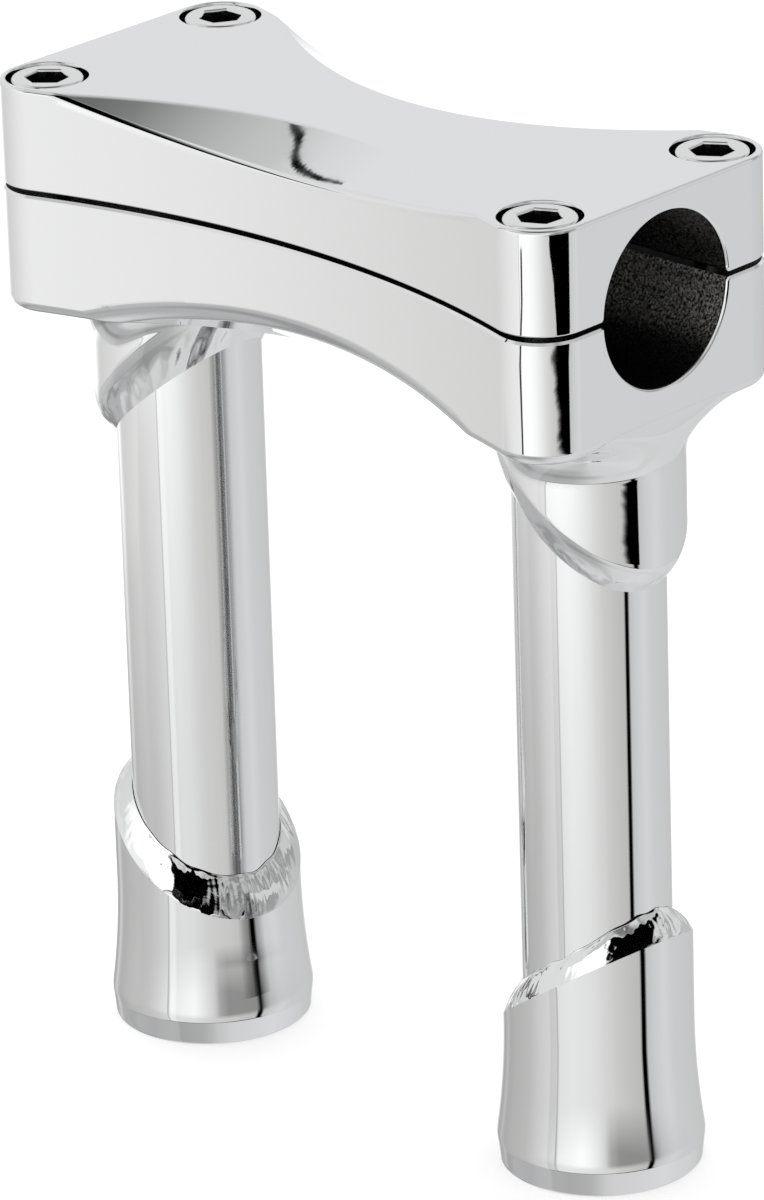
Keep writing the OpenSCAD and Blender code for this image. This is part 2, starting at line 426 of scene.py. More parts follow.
class NodeBoard:
    """A short way to lay out a node tree."""

    def __init__(self, tree: bpy.types.NodeTree, output: bpy.types.Node) -> None:
        """Keeps the tree and its output node.

        Args:
            tree: The node tree to fill.
            output: The tree's output node.
        """
        self.tree = tree
        self.output = output
        self.material: bpy.types.Material | None = None

    @classmethod
    def for_material(cls, name: str) -> "NodeBoard":
        """Makes an empty material and returns the board for its nodes."""
        material = bpy.data.materials.new(name)
        material.use_nodes = True
        tree = material.node_tree
        tree.nodes.clear()
        board = cls(tree, tree.nodes.new("ShaderNodeOutputMaterial"))
        board.material = material
        return board

    def add(self, kind: str) -> bpy.types.Node:
        """Adds a node of that kind and returns it."""
        return self.tree.nodes.new(kind)

    def link(self, source: bpy.types.NodeSocket, target: bpy.types.NodeSocket) -> None:
        """Joins two sockets."""
        self.tree.links.new(source, target)

    def noise(self, place: bpy.types.NodeSocket, size: float,
              detail: float) -> bpy.types.NodeSocket:
        """Adds a noise pattern.

        Args:
            place: The socket that gives the place.
            size: Width of one blotch, in metres.
            detail: Levels of finer detail.

        Returns:
            The socket with the pattern's value.
        """
        node = self.add("ShaderNodeTexNoise")
        self.link(place, node.inputs["Vector"])
        node.inputs["Scale"].default_value = 1.0 / size
        node.inputs["Detail"].default_value = detail
        return node.outputs["Fac"]

    def bump(self, height: bpy.types.NodeSocket, depth: float,
             before: bpy.types.NodeSocket | None = None) -> bpy.types.NodeSocket:
        """Adds a bump of a depth in mm and returns its normal socket."""
        node = self.add("ShaderNodeBump")
        node.inputs["Strength"].default_value = 1.0
        node.inputs["Distance"].default_value = depth * METRES_PER_MM
        self.link(height, node.inputs["Height"])
        if before is not None:
            self.link(before, node.inputs["Normal"])
        return node.outputs["Normal"]

    def mix(self, value: bpy.types.NodeSocket, low: Sequence[float],
            high: Sequence[float], start: float, end: float) -> bpy.types.NodeSocket:
        """Mixes two colours by a value between start and end.

        Args:
            value: The socket with the value.
            low: Colour at start.
            high: Colour at end.
            start: Value that gives the first colour.
            end: Value that gives the second one.

        Returns:
            The socket with the colour.
        """
        node = self.add("ShaderNodeValToRGB")
        node.color_ramp.elements[0].position = start
        node.color_ramp.elements[0].color = (*low, 1.0)
        node.color_ramp.elements[1].position = end
        node.color_ramp.elements[1].color = (*high, 1.0)
        self.link(value, node.inputs["Fac"])
        return node.outputs["Color"]

    def scaled(self, colour: bpy.types.NodeSocket,
               factor: bpy.types.NodeSocket) -> bpy.types.NodeSocket:
        """Multiplies a colour by another and returns the result's socket."""
        node = self.add("ShaderNodeMix")
        node.data_type = "RGBA"
        node.blend_type = "MULTIPLY"
        node.inputs["Factor"].default_value = 1.0
        self.link(colour, node.inputs[6])
        self.link(factor, node.inputs[7])
        return node.outputs[2]

    def math(self, kind: str, *values: bpy.types.NodeSocket | float) -> bpy.types.NodeSocket:
        """Adds a math node of that kind and returns its result's socket."""
        node = self.add("ShaderNodeMath")
        node.operation = kind
        for socket, value in zip(node.inputs, values):
            if isinstance(value, (int, float)):
                socket.default_value = value
            else:
                self.link(value, socket)
        return node.outputs["Value"]


@dataclass(frozen=True)
class Stance:
    """Sizes that every piece of the riser shares, in mm."""

    leg_x: float = 44.45
    rise: float = 152.4
    split: float = 0.5
    bar_radius: float = 14.3
    tube_radius: float = 12.3
    socket_radius: float = 12.4


@dataclass
class ClampShape:
    """The clamp's outline seen from above, with its scooped faces.

    Attributes:
        stance: The shared sizes.
        screw_x: Place of the screws along the bar.
        screw_y: Place of the screws across the bar.
        corner: Radius of the corners, centred on the screws.
        waist_half: Half width at the waist.
    """

    stance: Stance = field(default_factory=Stance)
    screw_x: float = 53.975
    screw_y: float = 20.0
    corner: float = 7.9
    waist_half: float = 19.4

    def __post_init__(self) -> None:
        """Works out the waist's arc, which touches the corner circles."""
        inset = self.screw_y - self.waist_half
        self.waist_radius = (self.screw_x ** 2 + inset ** 2 - self.corner ** 2) / (
            2.0 * (self.corner + inset))
        self.arc_y = self.waist_half + self.waist_radius
        self.half_length = self.screw_x + self.corner

    def outline(self, x: Array, y: Array) -> Array:
        """Signed distance to the outline.

        Formula: within the wedge of a corner it is the distance to the screw
        less the corner's radius, and elsewhere the larger of the distance past
        the flat end and the depth inside the waist's circle.

        Args:
            x: Places along the bar.
            y: Places across it.

        Returns:
            The distances, negative inside.
        """
        u, v = np.abs(x) - self.screw_x, np.abs(y) - self.screw_y
        corner = np.hypot(u, v) - self.corner
        end = u - self.corner
        waist = self.waist_radius - np.hypot(x, np.abs(y) - self.arc_y)
        to_arc = (-self.screw_x, self.arc_y - self.screw_y)
        in_wedge = (v >= 0.0) & (u * to_arc[1] - v * to_arc[0] >= 0.0)
        return np.where(in_wedge, corner, np.maximum(end, waist))

    def edge_loop(self, waist_steps: int = 56, corner_steps: int = 34,
                  end_steps: int = 12) -> tuple[Array, Array]:
        """Walks round the outline, anticlockwise seen from above.

        Formula: a quarter runs along the waist's arc, round a corner and down
        half of the flat end, and mirroring it gives the other three.

        Args:
            waist_steps: Steps along half of the waist.
            corner_steps: Steps round a corner.
            end_steps: Steps along half of an end.

        Returns:
            The places on the outline and the outward normals there, in 2-D.
        """
        lean = math.atan2(self.screw_x, self.arc_y - self.screw_y)
        a = np.linspace(0.0, lean, waist_steps, endpoint=False)
        waist = np.stack([np.sin(a), -np.cos(a)], axis=-1) * self.waist_radius
        waist += (0.0, self.arc_y)
        waist_out = np.stack([-np.sin(a), np.cos(a)], axis=-1)
        b = np.linspace(math.pi / 2 + lean, 0.0, corner_steps, endpoint=False)
        corner_out = np.stack([np.cos(b), np.sin(b)], axis=-1)
        corner = corner_out * self.corner + (self.screw_x, self.screw_y)
        y = np.linspace(self.screw_y, 0.0, end_steps + 1)
        end = np.stack([np.full_like(y, self.half_length), y], axis=-1)
        end_out = np.broadcast_to((1.0, 0.0), end.shape)
        place = np.concatenate([waist, corner, end])
        out = np.concatenate([waist_out, corner_out, end_out])
        loops = []
        for part in (place, out):
            ahead, back = part[:-1], part[:0:-1]
            loops.append(np.concatenate([
                ahead * (1, -1), back * (1, 1), ahead * (-1, 1), back * (-1, -1)]))
        return loops[0], loops[1]


@dataclass
class ClampHalf:
    """One clamp half, worked out as a rounded solid with its holes cut.

    Attributes:
        shape: The clamp's outline.
        half: Which half it is.
        depth: Height of the half's outer face from the bar's axis.
        land: Width of the flat between the scoops at the waist.
        drop: How far a scoop cuts the edge at the waist.
        scoop_radius: Radius of the scoops.
        dish: Depth of the dish across the face, or 0 for none.
        dish_half: Half length of the dish.
        edge: Rounding of the outer edge.
        crease: Rounding of the line between the flat and a scoop.
        lip: Rounding of the edge at the slot.
    """

    shape: ClampShape
    half: Half
    depth: float
    land: float
    drop: float
    scoop_radius: float
    dish: float
    dish_half: float
    edge: float
    crease: float = 0.35
    lip: float = 0.15

    def flat(self, x: Array, t: Array) -> Array:
        """Distance past the outer face, with the dish where there is one.

        Formula: the larger of the height above the face and the depth inside a
        wide circle in the X-Z plane.
        """
        plane = t - self.depth
        if self.dish <= 0.0:
            return plane
        radius = (self.dish_half ** 2 + self.dish ** 2) / (2.0 * self.dish)
        cut = radius - np.hypot(x, t - (self.depth - self.dish + radius))
        return rounded_max(plane, cut, 0.05)

    def scoop(self, x: Array, y: Array, t: Array) -> Array:
        """Depth inside the scoop's cylinder, which leans outwards from the land.

        Formula: with h the height in the leaned frame, the radius less the
        length of the vector of x and h less the radius.
        """
        lean = math.atan(self.drop / (self.shape.waist_half - self.land / 2.0))
        outwards = np.abs(y) - self.land / 2.0
        h = math.sin(lean) * outwards + math.cos(lean) * (t - self.depth)
        return self.scoop_radius - np.hypot(x, h - self.scoop_radius)

    def face(self, x: Array, y: Array, t: Array) -> Array:
        """The flat and the scoops together, with a rounded crease."""
        return rounded_max(self.flat(x, t), self.scoop(x, y, t), self.crease)

    def height(self, points: Array) -> Array:
        """How far points lie from the bar's axis, outwards."""
        return (points[..., 2] - self.shape.stance.rise) * self.half.value

    def solid(self, points: Array) -> Array:
        """Signed distance of the uncut half, with all its edges rounded."""
        x, y, t = points[..., 0], points[..., 1], self.height(points)
        wall = self.shape.outline(x, y)
        body = rounded_max(wall, self.face(x, y, t), self.edge)
        return rounded_max(body, self.shape.stance.split - t, self.lip)

    def at_height(self, flat: Array, t: Array | float) -> Array:
        """Puts 2-D places at a height from the bar's axis."""
        z = self.shape.stance.rise + self.half.value * (np.zeros(flat.shape[:-1]) + t)
        return np.concatenate([flat, z[..., None]], axis=-1)

    def crease_distance(self, core: Array, inner: Array) -> Array:
        """Finds how far in from the core line each column crosses the crease.

        Args:
            core: The columns' outer places.
            inner: The columns' inner places.

        Returns:
            The distance in mm, or 0 where a column has no crease.
        """
        steps = np.linspace(0.0, 1.0, 240)
        path = core[None] + steps[:, None, None] * (inner - core)[None]
        level = np.full(path.shape[:-1], self.depth)
        scooped = self.scoop(path[..., 0], path[..., 1], level) > self.flat(
            path[..., 0], level)
        last = np.max(np.where(scooped, steps[:, None], 0.0), axis=0)
        return last * np.linalg.norm(inner - core, axis=-1)

    def grid(self) -> tuple[Array, Array]:
        """Works out the closed surface of the uncut half.

        Formula: each column starts in the slot's face, turns round the lip,
        climbs the wall, turns round the outer edge on a fan of rays from a core
        line, and runs over the face to the middle, with rows bunched on the
        crease. Rays give every place from the signed distance.

        Returns:
            The points and the quads.
        """
        place, out = self.shape.edge_loop()
        columns = len(place)
        inset = max(self.edge, self.lip) + 0.05
        core = place - out * inset
        inner = np.stack([place[:, 0] * 0.76, np.zeros(columns)], axis=-1)
        split = self.shape.stance.split
        up = np.array([0.0, 0.0, float(self.half.value)])
        out3 = np.concatenate([out, np.zeros((columns, 1))], axis=-1)

        def cast(flat: Array, t: Array | float, angle: Array, reach: float) -> Array:
            """Casts rays at angles above the outward direction."""
            start = self.at_height(flat, t)
            ray = np.cos(angle) * out3 + np.sin(angle) * up
            return cast_out(self.solid, start, ray, reach)

        top = self.height(cast_out(
            self.solid, self.at_height(core, 4.0), np.broadcast_to(up, out3.shape), 40.0))
        shoulder = top - 1.35 * inset
        foot = split + self.lip + 0.25
        slot_face = [self.at_height(core + w * (inner - core), split)
                     for w in (1.0, 0.6, 0.25, 0.05)]
        lip = [cast(core, foot, np.radians(a), 6.0)
               for a in (-90, -60, -48, -36, -24, -12)]
        wall = [cast(core, foot + w * (shoulder - foot), 0.0, 6.0)
                for w in np.linspace(0.0, 1.0, 16)]
        turn = [cast(core, shoulder, np.radians(a), 8.0)
                for a in np.linspace(0.0, 90.0, 19)[1:]]
        length = np.linalg.norm(inner - core, axis=-1)
        band = 1.5
        crease = np.maximum(self.crease_distance(core, inner), band + 0.4)
        stops = np.concatenate([
            np.linspace(0.0, 1.0, 13)[1:, None] * (crease - band)[None],
            (crease - band)[None] + np.linspace(0.0, 1.0, 13)[1:, None] * 2.0 * band,
            (crease + band)[None] + np.linspace(0.0, 1.0, 13)[1:, None]
            * (length - crease - band)[None]])
        reach = np.clip(stops / length[None], 0.0, 1.0)
        flat = core[None] + reach[..., None] * (inner - core)[None]
        face = cast_out(self.solid, self.at_height(flat, 4.0),
                        np.broadcast_to(up, flat.shape[:-1] + (3,)), 40.0)
        rows = np.concatenate([np.stack(slot_face + lip + wall + turn), face])
        quads = ring_faces(len(rows), columns)
        return rows.reshape(-1, 3), quads


@dataclass
class Bore:
    """The bar's bore, with its rims and the bevels along the slot.

    Attributes:
        shape: The clamp's outline.
        rim: Rounding of the rims at the clamp's ends.
        bevel: Bevel along the slot's edges inside the bore.
    """

    shape: ClampShape
    rim: float = 0.6
    bevel: float = 0.4

    def radius(self, x: Array, z: Array) -> Array:
        """Radius of the cutter.

        Formula: the bar's radius, plus a quarter round that opens towards the
        ends, plus a bevel that grows towards the slot.

        Args:
            x: Places along the bar.
            z: Heights from the bar's axis on the plain bore.

        Returns:
            The cutter's radius there.
        """
        stance = self.shape.stance
        past = np.clip(np.abs(x) - (self.shape.half_length - self.rim), 0.0, None)
        bend = np.clip(past / self.rim, 0.0, 0.965)
        flare = self.rim * (1.0 - np.sqrt(1.0 - bend ** 2))
        flare = flare + np.clip(past - 0.965 * self.rim, 0.0, None) * 3.6
        edge = np.clip(stance.split + self.bevel - np.abs(z), 0.0, None)
        return stance.bar_radius + flare + 0.8 * edge

    def grid(self, columns: int = 144) -> tuple[Array, Array]:
        """Works out the cutter's closed surface.

        Formula: rings along X, each with its radius from the place along the
        bar and the angle round it, closed by a pole at each end.

        Args:
            columns: Points round the bore.

        Returns:
            The points and the quads.
        """
        end = self.shape.half_length
        bend = np.linspace(0.0, 0.965, 9) * self.rim
        mouth = np.concatenate([end - self.rim + bend, [end + 0.4]])
        body = np.linspace(-end + self.rim, end - self.rim, 40)[1:-1]
        x = np.concatenate([-mouth[::-1], body, mouth])[:, None]
        angle = self.angles(columns)
        z = self.shape.stance.bar_radius * np.sin(angle)[None]
        radius = self.radius(x, z)
        rings = np.stack([np.broadcast_to(x, radius.shape), radius * np.cos(angle),
                          self.shape.stance.rise + radius * np.sin(angle)], axis=-1)
        poles = [np.broadcast_to((s * (end + 0.4), 0.0, self.shape.stance.rise),
                                 (1, len(angle), 3)) for s in (-1, 1)]
        rings = np.concatenate([poles[0], rings, poles[1]])
        return rings.reshape(-1, 3), ring_faces(len(rings), len(angle))

    def angles(self, columns: int) -> Array:
        """Angles round the bore, with extra ones where the slot's bevels end."""
        stance = self.shape.stance
        extra = [math.asin((stance.split + self.bevel * w) / stance.bar_radius)
                 for w in (0.0, 0.5, 1.0)]
        near = np.array([s * e for e in extra for s in (-1, 1)])
        even = np.arange(columns) * (2.0 * math.pi / columns)
        return np.unique(np.round(np.concatenate([even, near % (2 * math.pi),
                                                  math.pi + near]), 6))

    def inward(self, points: Array) -> Array:
        """Unit vectors into the bore from places on its wall."""
        def depth(p: Array) -> Array:
            """Distance inside the cutter, positive in the metal."""
            z = p[..., 2] - self.shape.stance.rise
            ring = np.hypot(p[..., 1], z)
            plain = z * self.shape.stance.bar_radius / np.maximum(ring, 1e-6)
            return ring - self.radius(p[..., 0], plain)
        return -unit(gradient(depth, points, 0.004))


@dataclass
class ScrewHole:
    """A screw's hole in one clamp half.

    Attributes:
        profile: Rows of radius and height, from the lower pole to the upper.
    """

    profile: Array

    @classmethod
    def upper(cls, stance: Stance, top: float) -> "ScrewHole":
        """Counterbore and clearance hole, with a small round at the mouth."""
        seat = top - 8.0
        mouth = arc((6.75 + 0.3, top - 0.3), 0.3, 180.0, 105.0, 6)
        return cls(np.concatenate([
            [[0.0, stance.rise - 0.5], [4.2, stance.rise - 0.5], [4.2, seat],
             [6.75, seat]], mouth, [[7.4, top + 0.6], [0.0, top + 0.6]]]))

    @classmethod
    def lower(cls, stance: Stance) -> "ScrewHole":
        """Tapped hole, with a small countersink in the slot."""
        face = stance.rise - stance.split
        return cls(np.array([[0.0, face - 15.5], [3.3, face - 15.5], [3.3, face - 0.5],
                             [4.2, face + 0.4], [0.0, face + 0.4]]))

    def grid(self, x: float, y: float) -> tuple[Array, Array]:
        """Carries the profile round the screw's axis."""
        columns = 72
        points = revolve(self.profile, columns, (x, y))
        return points, ring_faces(len(self.profile), columns)


@dataclass
class Neck:
    """A neck under the lower half, with the weld that joins the tube to it.

    Attributes:
        clamp: The lower clamp half.
        side: Which leg it is for.
        radius: The neck's outer radius.
        cut_height: Height of the slanted cut on the leg's axis.
        slope: Tangent of the slant.
        toe: How far the weld runs down the tube.
        fillet: Fillet to the clamp on the outer side.
    """

    clamp: ClampHalf
    side: Side
    radius: float = 15.7
    cut_height: float = 118.5
    slope: float = 0.8391
    toe: float = 5.5
    fillet: float = 8.6

    def local(self, points: Array) -> tuple[Array, Array, Array]:
        """Distance from the leg's axis, outward share of the direction, height."""
        x = points[..., 0] * self.side.value - self.clamp.shape.stance.leg_x
        ring = np.hypot(x, points[..., 1])
        return ring, x / np.maximum(ring, 1e-6), points[..., 2]

    def cone(self, ring: Array, share: Array, z: Array) -> Array:
        """Distance past the weld's face.

        Formula: in each half-plane through the axis, the face is the line from
        the neck's slanted edge to the toe on the tube.

        Args:
            ring: Distance from the leg's axis.
            share: Cosine of the angle from the outward direction.
            z: Height.

        Returns:
            The signed distance, negative in the metal.
        """
        tube = self.clamp.shape.stance.tube_radius
        edge_z = self.cut_height - self.slope * self.radius * share + 0.4
        toe_z = self.cut_height - self.slope * tube * share - self.toe
        run, climb = self.radius - tube, edge_z - toe_z
        length = np.hypot(run, climb)
        return ((ring - tube) * climb - (z - toe_z) * run) / length

    def solid(self, points: Array) -> Array:
        """Signed distance of the clamp half with its neck and weld.

        Formula: the neck is the rounded intersection of its cylinder and the
        weld's face, its union with the clamp's face has a fillet that is large
        on the outer side, and the clamp's outline bounds them all.
        """
        ring, share, z = self.local(points)
        neck = rounded_max(ring - self.radius, self.cone(ring, share, z), 1.6)
        fillet = 2.5 + (self.fillet - 2.5) * smooth_step(share, -0.7, 0.2)
        x, y, t = points[..., 0], points[..., 1], self.clamp.height(points)
        body = rounded_min(self.clamp.face(x, y, t), neck, fillet)
        return rounded_max(self.clamp.shape.outline(x, y), body, self.clamp.edge)

    def rows(self, columns: int = 160, weld_rows: int = 22,
             neck_rows: int = 40) -> tuple[Array, Array]:
        """Works out the neck's and the weld's outer faces.

        Formula: a first guess follows the weld's line, the neck's wall and a
        quarter circle for the fillet, is spaced evenly along its length, and
        then settles onto the signed distance.

        Args:
            columns: Points round the leg.
            weld_rows: Rows over the weld.
            neck_rows: Rows over the neck and the fillet.

        Returns:
            The weld's rows and the neck's rows, each from below upwards. The
            last row of the weld is the first one of the neck.
        """
        stance = self.clamp.shape.stance
        angle = np.arange(columns) * (2.0 * math.pi / columns)
        share = np.cos(angle)
        belly = stance.rise - self.clamp.depth
        fillet = 2.5 + (self.fillet - 2.5) * smooth_step(share, -0.7, 0.2)
        toe_z = self.cut_height - self.slope * stance.tube_radius * share - self.toe
        start_z = belly - fillet
        edge_z = np.minimum(self.cut_height - self.slope * self.radius * share, start_z)
        toe_z = np.minimum(toe_z, edge_z - 1.0)
        sweep = np.linspace(math.pi, math.pi / 2, 25)[:, None]
        knots_r = np.concatenate([
            np.full((1, columns), self.radius), np.full((1, columns), self.radius),
            (self.radius + fillet)[None] + fillet[None] * np.cos(sweep)])
        knots_z = np.concatenate([
            edge_z[None], start_z[None],
            start_z[None] + fillet[None] * np.sin(sweep)])
        neck_r, neck_z = self.even(knots_r, knots_z, neck_rows)
        weld_w = np.linspace(0.0, 1.0, weld_rows)[:, None]
        weld_r = stance.tube_radius + weld_w * (neck_r[0] - stance.tube_radius)
        weld_z = toe_z + weld_w * (neck_z[0] - toe_z)
        result = []
        for ring, z in ((weld_r, weld_z), (neck_r, neck_z)):
            x = self.side.value * (stance.leg_x + ring * np.cos(angle))
            guess = np.stack([x, ring * np.sin(angle), z], axis=-1)
            result.append(settle(self.solid, guess))
        result[1][0] = result[0][-1]
        return result[0], result[1]

    @staticmethod
    def even(ring: Array, z: Array, rows: int) -> tuple[Array, Array]:
        """Spaces the points of each column evenly along its length.

        Args:
            ring: Distance from the axis, one column for each angle.
            z: Heights.
            rows: Number of rows wanted.

        Returns:
            The distances and heights at the even spacing.
        """
        step = np.hypot(np.diff(ring, axis=0), np.diff(z, axis=0)) + 1e-6
        length = np.concatenate([np.zeros((1, ring.shape[1])), np.cumsum(step, axis=0)])
        goal = np.linspace(0.0, 1.0, rows)[:, None] * length[-1]
        below = np.sum(length[None] <= goal[:, None] + 1e-9, axis=1) - 1
        below = np.clip(below, 0, len(length) - 2)
        first = np.take_along_axis(length, below, axis=0)
        last = np.take_along_axis(length, below + 1, axis=0)
        w = np.clip((goal - first) / (last - first), 0.0, 1.0)
        pick = [np.take_along_axis(a, below, axis=0) * (1 - w)
                + np.take_along_axis(a, below + 1, axis=0) * w for a in (ring, z)]
        return pick[0], pick[1]

    def grid(self) -> tuple[Array, Array]:
        """Works out the neck's closed surface, from its pole inside the clamp.

        Returns:
            The points and the quads.
        """
        stance = self.clamp.shape.stance
        outer = self.rows()[1]
        axis = np.array([self.side.value * stance.leg_x, 0.0, 0.0])
        out = unit((outer - axis) * (1.0, 1.0, 0.0))
        sunk = outer[-1] + out[-1] * -3.0 + (0.0, 0.0, 3.0)
        rim = axis + out[0] * stance.socket_radius
        rim[:, 2] = np.minimum(outer[0, :, 2] + 0.5, 133.0)
        roof = rim.copy()
        roof[:, 2] = 134.1
        pole = np.broadcast_to(axis + (0.0, 0.0, 134.1), roof.shape)
        crown = np.broadcast_to(axis + (0.0, 0.0, 136.5), roof.shape)
        rows = np.stack([crown, sunk, *outer[::-1], rim, roof, pole])
        return rows.reshape(-1, 3), ring_faces(len(rows), rows.shape[1])


@dataclass
class ClampMaker:
    """Builds and dresses both clamp halves.

    Attributes:
        shape: The clamp's outline.
        chrome: The polished finish.
        casting: The bore's finish, with painted shade and a painted highlight set by height.
        slot: Near-black painted shade for the faces in the slot.
    """

    shape: ClampShape
    chrome: bpy.types.Material
    casting: bpy.types.Material
    slot: bpy.types.Material

    def upper_half(self) -> ClampHalf:
        """The upper half's shape."""
        return ClampHalf(self.shape, Half.UPPER, depth=17.7, land=14.0, drop=6.0,
                         scoop_radius=136.0, dish=0.9, dish_half=46.0, edge=0.7)

    def lower_half(self) -> ClampHalf:
        """The lower half's shape."""
        return ClampHalf(self.shape, Half.LOWER, depth=21.0, land=15.5, drop=6.6,
                         scoop_radius=109.0, dish=0.0, dish_half=0.0, edge=2.2,
                         crease=0.6)

    def cutter(self, hole: ScrewHole, sockets: bool) -> bpy.types.Object:
        """Joins the bore's cutter with the four holes and the tube sockets.

        Args:
            hole: The screw hole's shape.
            sockets: Whether the tubes' sockets are cut too.

        Returns:
            The cutter as one object.
        """
        parts = [Bore(self.shape).grid()]
        for x in (-1, 1):
            for y in (-1, 1):
                parts.append(hole.grid(x * self.shape.screw_x, y * self.shape.screw_y))
        if sockets:
            stance = self.shape.stance
            profile = np.array([[0.0, 120.0], [stance.socket_radius, 120.0],
                                [stance.socket_radius, 134.1], [0.0, 134.1]])
            for side in Side:
                centre = (side.value * stance.leg_x, 0.0)
                parts.append((revolve(profile, 96, centre), ring_faces(4, 96)))
        points = np.concatenate([p for p, _ in parts])
        starts = np.cumsum([0] + [len(p) for p, _ in parts[:-1]])
        quads = np.concatenate([q + s for (_, q), s in zip(parts, starts)])
        return make_object("cutter", make_mesh("cutter", points, quads))

    def finish(self, piece: bpy.types.Object, half: ClampHalf) -> None:
        """Gives a cut half its exact normals and its three materials: chrome, the bore's
        casting with painted shade by height, and near-black painted shade in the slot.

        Args:
            piece: The cut half.
            half: Its shape.
        """
        mesh = piece.data
        mesh.materials.clear()
        mesh.materials.append(self.chrome)
        mesh.materials.append(self.casting)
        mesh.materials.append(self.slot)
        places, faces, centres = corner_places(mesh)
        outer = np.abs(half.solid(centres)) < 0.03
        stance = self.shape.stance
        hidden = half.height(centres) < stance.split + 0.02
        ring = np.hypot(centres[:, 1], centres[:, 2] - self.shape.stance.rise)
        in_length = np.abs(centres[:, 0]) < self.shape.half_length - 0.62
        bore = (~outer) & (ring < self.shape.stance.bar_radius + 0.55)
        rough = bore & in_length & (ring < self.shape.stance.bar_radius + 0.03)
        bevel = bore & ~rough & in_length
        rough = rough | (bevel & (half.half is Half.LOWER))
        # The slot's faces and the upper half's bevels take near-black painted shade; the
        # lower half's bevels take the bore's painted highlight band.
        kinds = np.where(rough, 1, np.where(hidden | bevel, 2, 0))
        mesh.polygons.foreach_set("material_index", kinds.astype(np.int32))
        mesh.shade_smooth()
        mesh.set_sharp_from_angle(angle=math.radians(25.0))
        normals = np.empty(len(mesh.loops) * 3)
        mesh.corner_normals.foreach_get("vector", normals)
        normals = normals.reshape(-1, 3)
        exact = unit(gradient(half.solid, places, 0.004))
        hollow = Bore(self.shape).inward(places)
        normals = np.where(outer[faces][:, None], exact, normals)
        normals = np.where(bore[faces][:, None], hollow, normals)
        mesh.normals_split_custom_set(normals.tolist())
        mesh.update()

    def build(self) -> list[bpy.types.Object]:
        """Builds both halves and returns them."""
        stance = self.shape.stance
        top = stance.rise + 17.7
        jobs = ((self.upper_half(), ScrewHole.upper(stance, top), "upper_clamp"),
                (self.lower_half(), ScrewHole.lower(stance), "lower_clamp"))
        made = []
        for half, hole, node in jobs:
            points, quads = half.grid()
            piece = make_object(f"{node}_dressed", make_mesh(node, points, quads))
            cut_away(piece, self.cutter(hole, half.half is Half.LOWER))
            self.finish(piece, half)
            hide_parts(node)
            made.append(piece)
        for side in Side:
            neck = Neck(self.lower_half(), side)
            points, quads = neck.grid()
            name = f"{side.name.lower()}_neck_dressed"
            piece = make_object(name, make_mesh(name, points, quads))
            self.dress_neck(piece, neck)
            made.append(piece)
        for piece in made:
            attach(piece, "root")
        return made

    def dress_neck(self, piece: bpy.types.Object, neck: Neck) -> None:
        """Gives a neck its exact normals where its face shows.

        Args:
            piece: The neck's object.
            neck: Its shape.
        """
        mesh = piece.data
        mesh.materials.append(self.chrome)
        places, faces, centres = corner_places(mesh)
        outer = np.abs(neck.solid(centres)) < 0.06
        mesh.shade_smooth()
        mesh.set_sharp_from_angle(angle=math.radians(30.0))
        normals = np.empty(len(mesh.loops) * 3)
        mesh.corner_normals.foreach_get("vector", normals)
        exact = unit(gradient(neck.solid, places, 0.004))
        normals = np.where(outer[faces][:, None], exact, normals.reshape(-1, 3))
        mesh.normals_split_custom_set(normals.tolist())
        mesh.update()


@dataclass
class WeldSkin:
    """How a weld's face departs from a smooth one.

    Attributes:
        crown: Swelling across the bead, in mm.
        ripple: Height of the ripples left by the weld pool.
        pitch: Distance between ripples along the bead.
        lump: Height of the slow unevenness.
        waver: How far the toe on the tube wanders.
        rise: How much taller the bead is at the slant's upper end.
        seed: Number that sets the unevenness.
    """

    crown: float
    ripple: float
    pitch: float
    lump: float
    waver: float
    rise: float
    seed: int

    def waves(self, angle: Array, across: Array, count: int, low: int,
              high: int) -> Array:
        """Sums sine waves that run round the bead and slant across it.

        Formula: the mean of sines of a whole number of turns of the angle plus a
        slant times the place across, each with its own phase.

        Args:
            angle: Angle round the tube.
            across: Place across the bead, from 0 to 1.
            count: How many waves are summed.
            low: Fewest waves round the bead.
            high: Most waves round it.

        Returns:
            Values of about -1 to 1.
        """
        draw = np.random.default_rng(self.seed + count * 7 + high)
        turns = draw.integers(low, high, count)
        slants = draw.uniform(-6.0, 6.0, count)
        phases = draw.uniform(0.0, 2.0 * math.pi, count)
        total = np.zeros(np.broadcast(angle, across).shape)
        for turn, slant, phase in zip(turns, slants, phases):
            total = total + np.sin(turn * angle + slant * across + phase)
        return total / math.sqrt(count)

    def offset(self, angle: Array, across: Array, radius: float) -> Array:
        """Height of the skin over a smooth bead.

        Formula: the crown times the sine across the bead, plus crescent ripples
        whose phase runs along the bead and lags towards its edges, plus slow
        waves, all fading to nothing at both edges.

        Args:
            angle: Angle round the tube.
            across: Place across the bead, from 0 at the collar to 1 at the toe.
            radius: The bead's mean radius.

        Returns:
            The offsets in mm.
        """
        fade = np.sin(np.pi * np.clip(across, 0.0, 1.0)) ** 0.7
        lag = 2.2 * (2.0 * across - 1.0) ** 2
        beats = np.round(2.0 * math.pi * radius / self.pitch)
        wander = 1.1 * self.waves(angle, across * 0.0, 4, 2, 9)
        wave = np.sin(beats * angle + lag + wander)
        crescent = np.sign(wave) * np.abs(wave) ** 0.8
        strength = np.clip(0.4 + 0.6 * self.waves(angle, across * 0.0, 3, 1, 5), 0, 1.3)
        slow = self.waves(angle, across, 7, 5, 26)
        quick = self.waves(angle, across * 2.5, 9, 22, 70)
        return (self.crown * np.sin(np.pi * across)
                + fade * (self.ripple * crescent * strength
                          + self.lump * (slow + 0.22 * quick)))


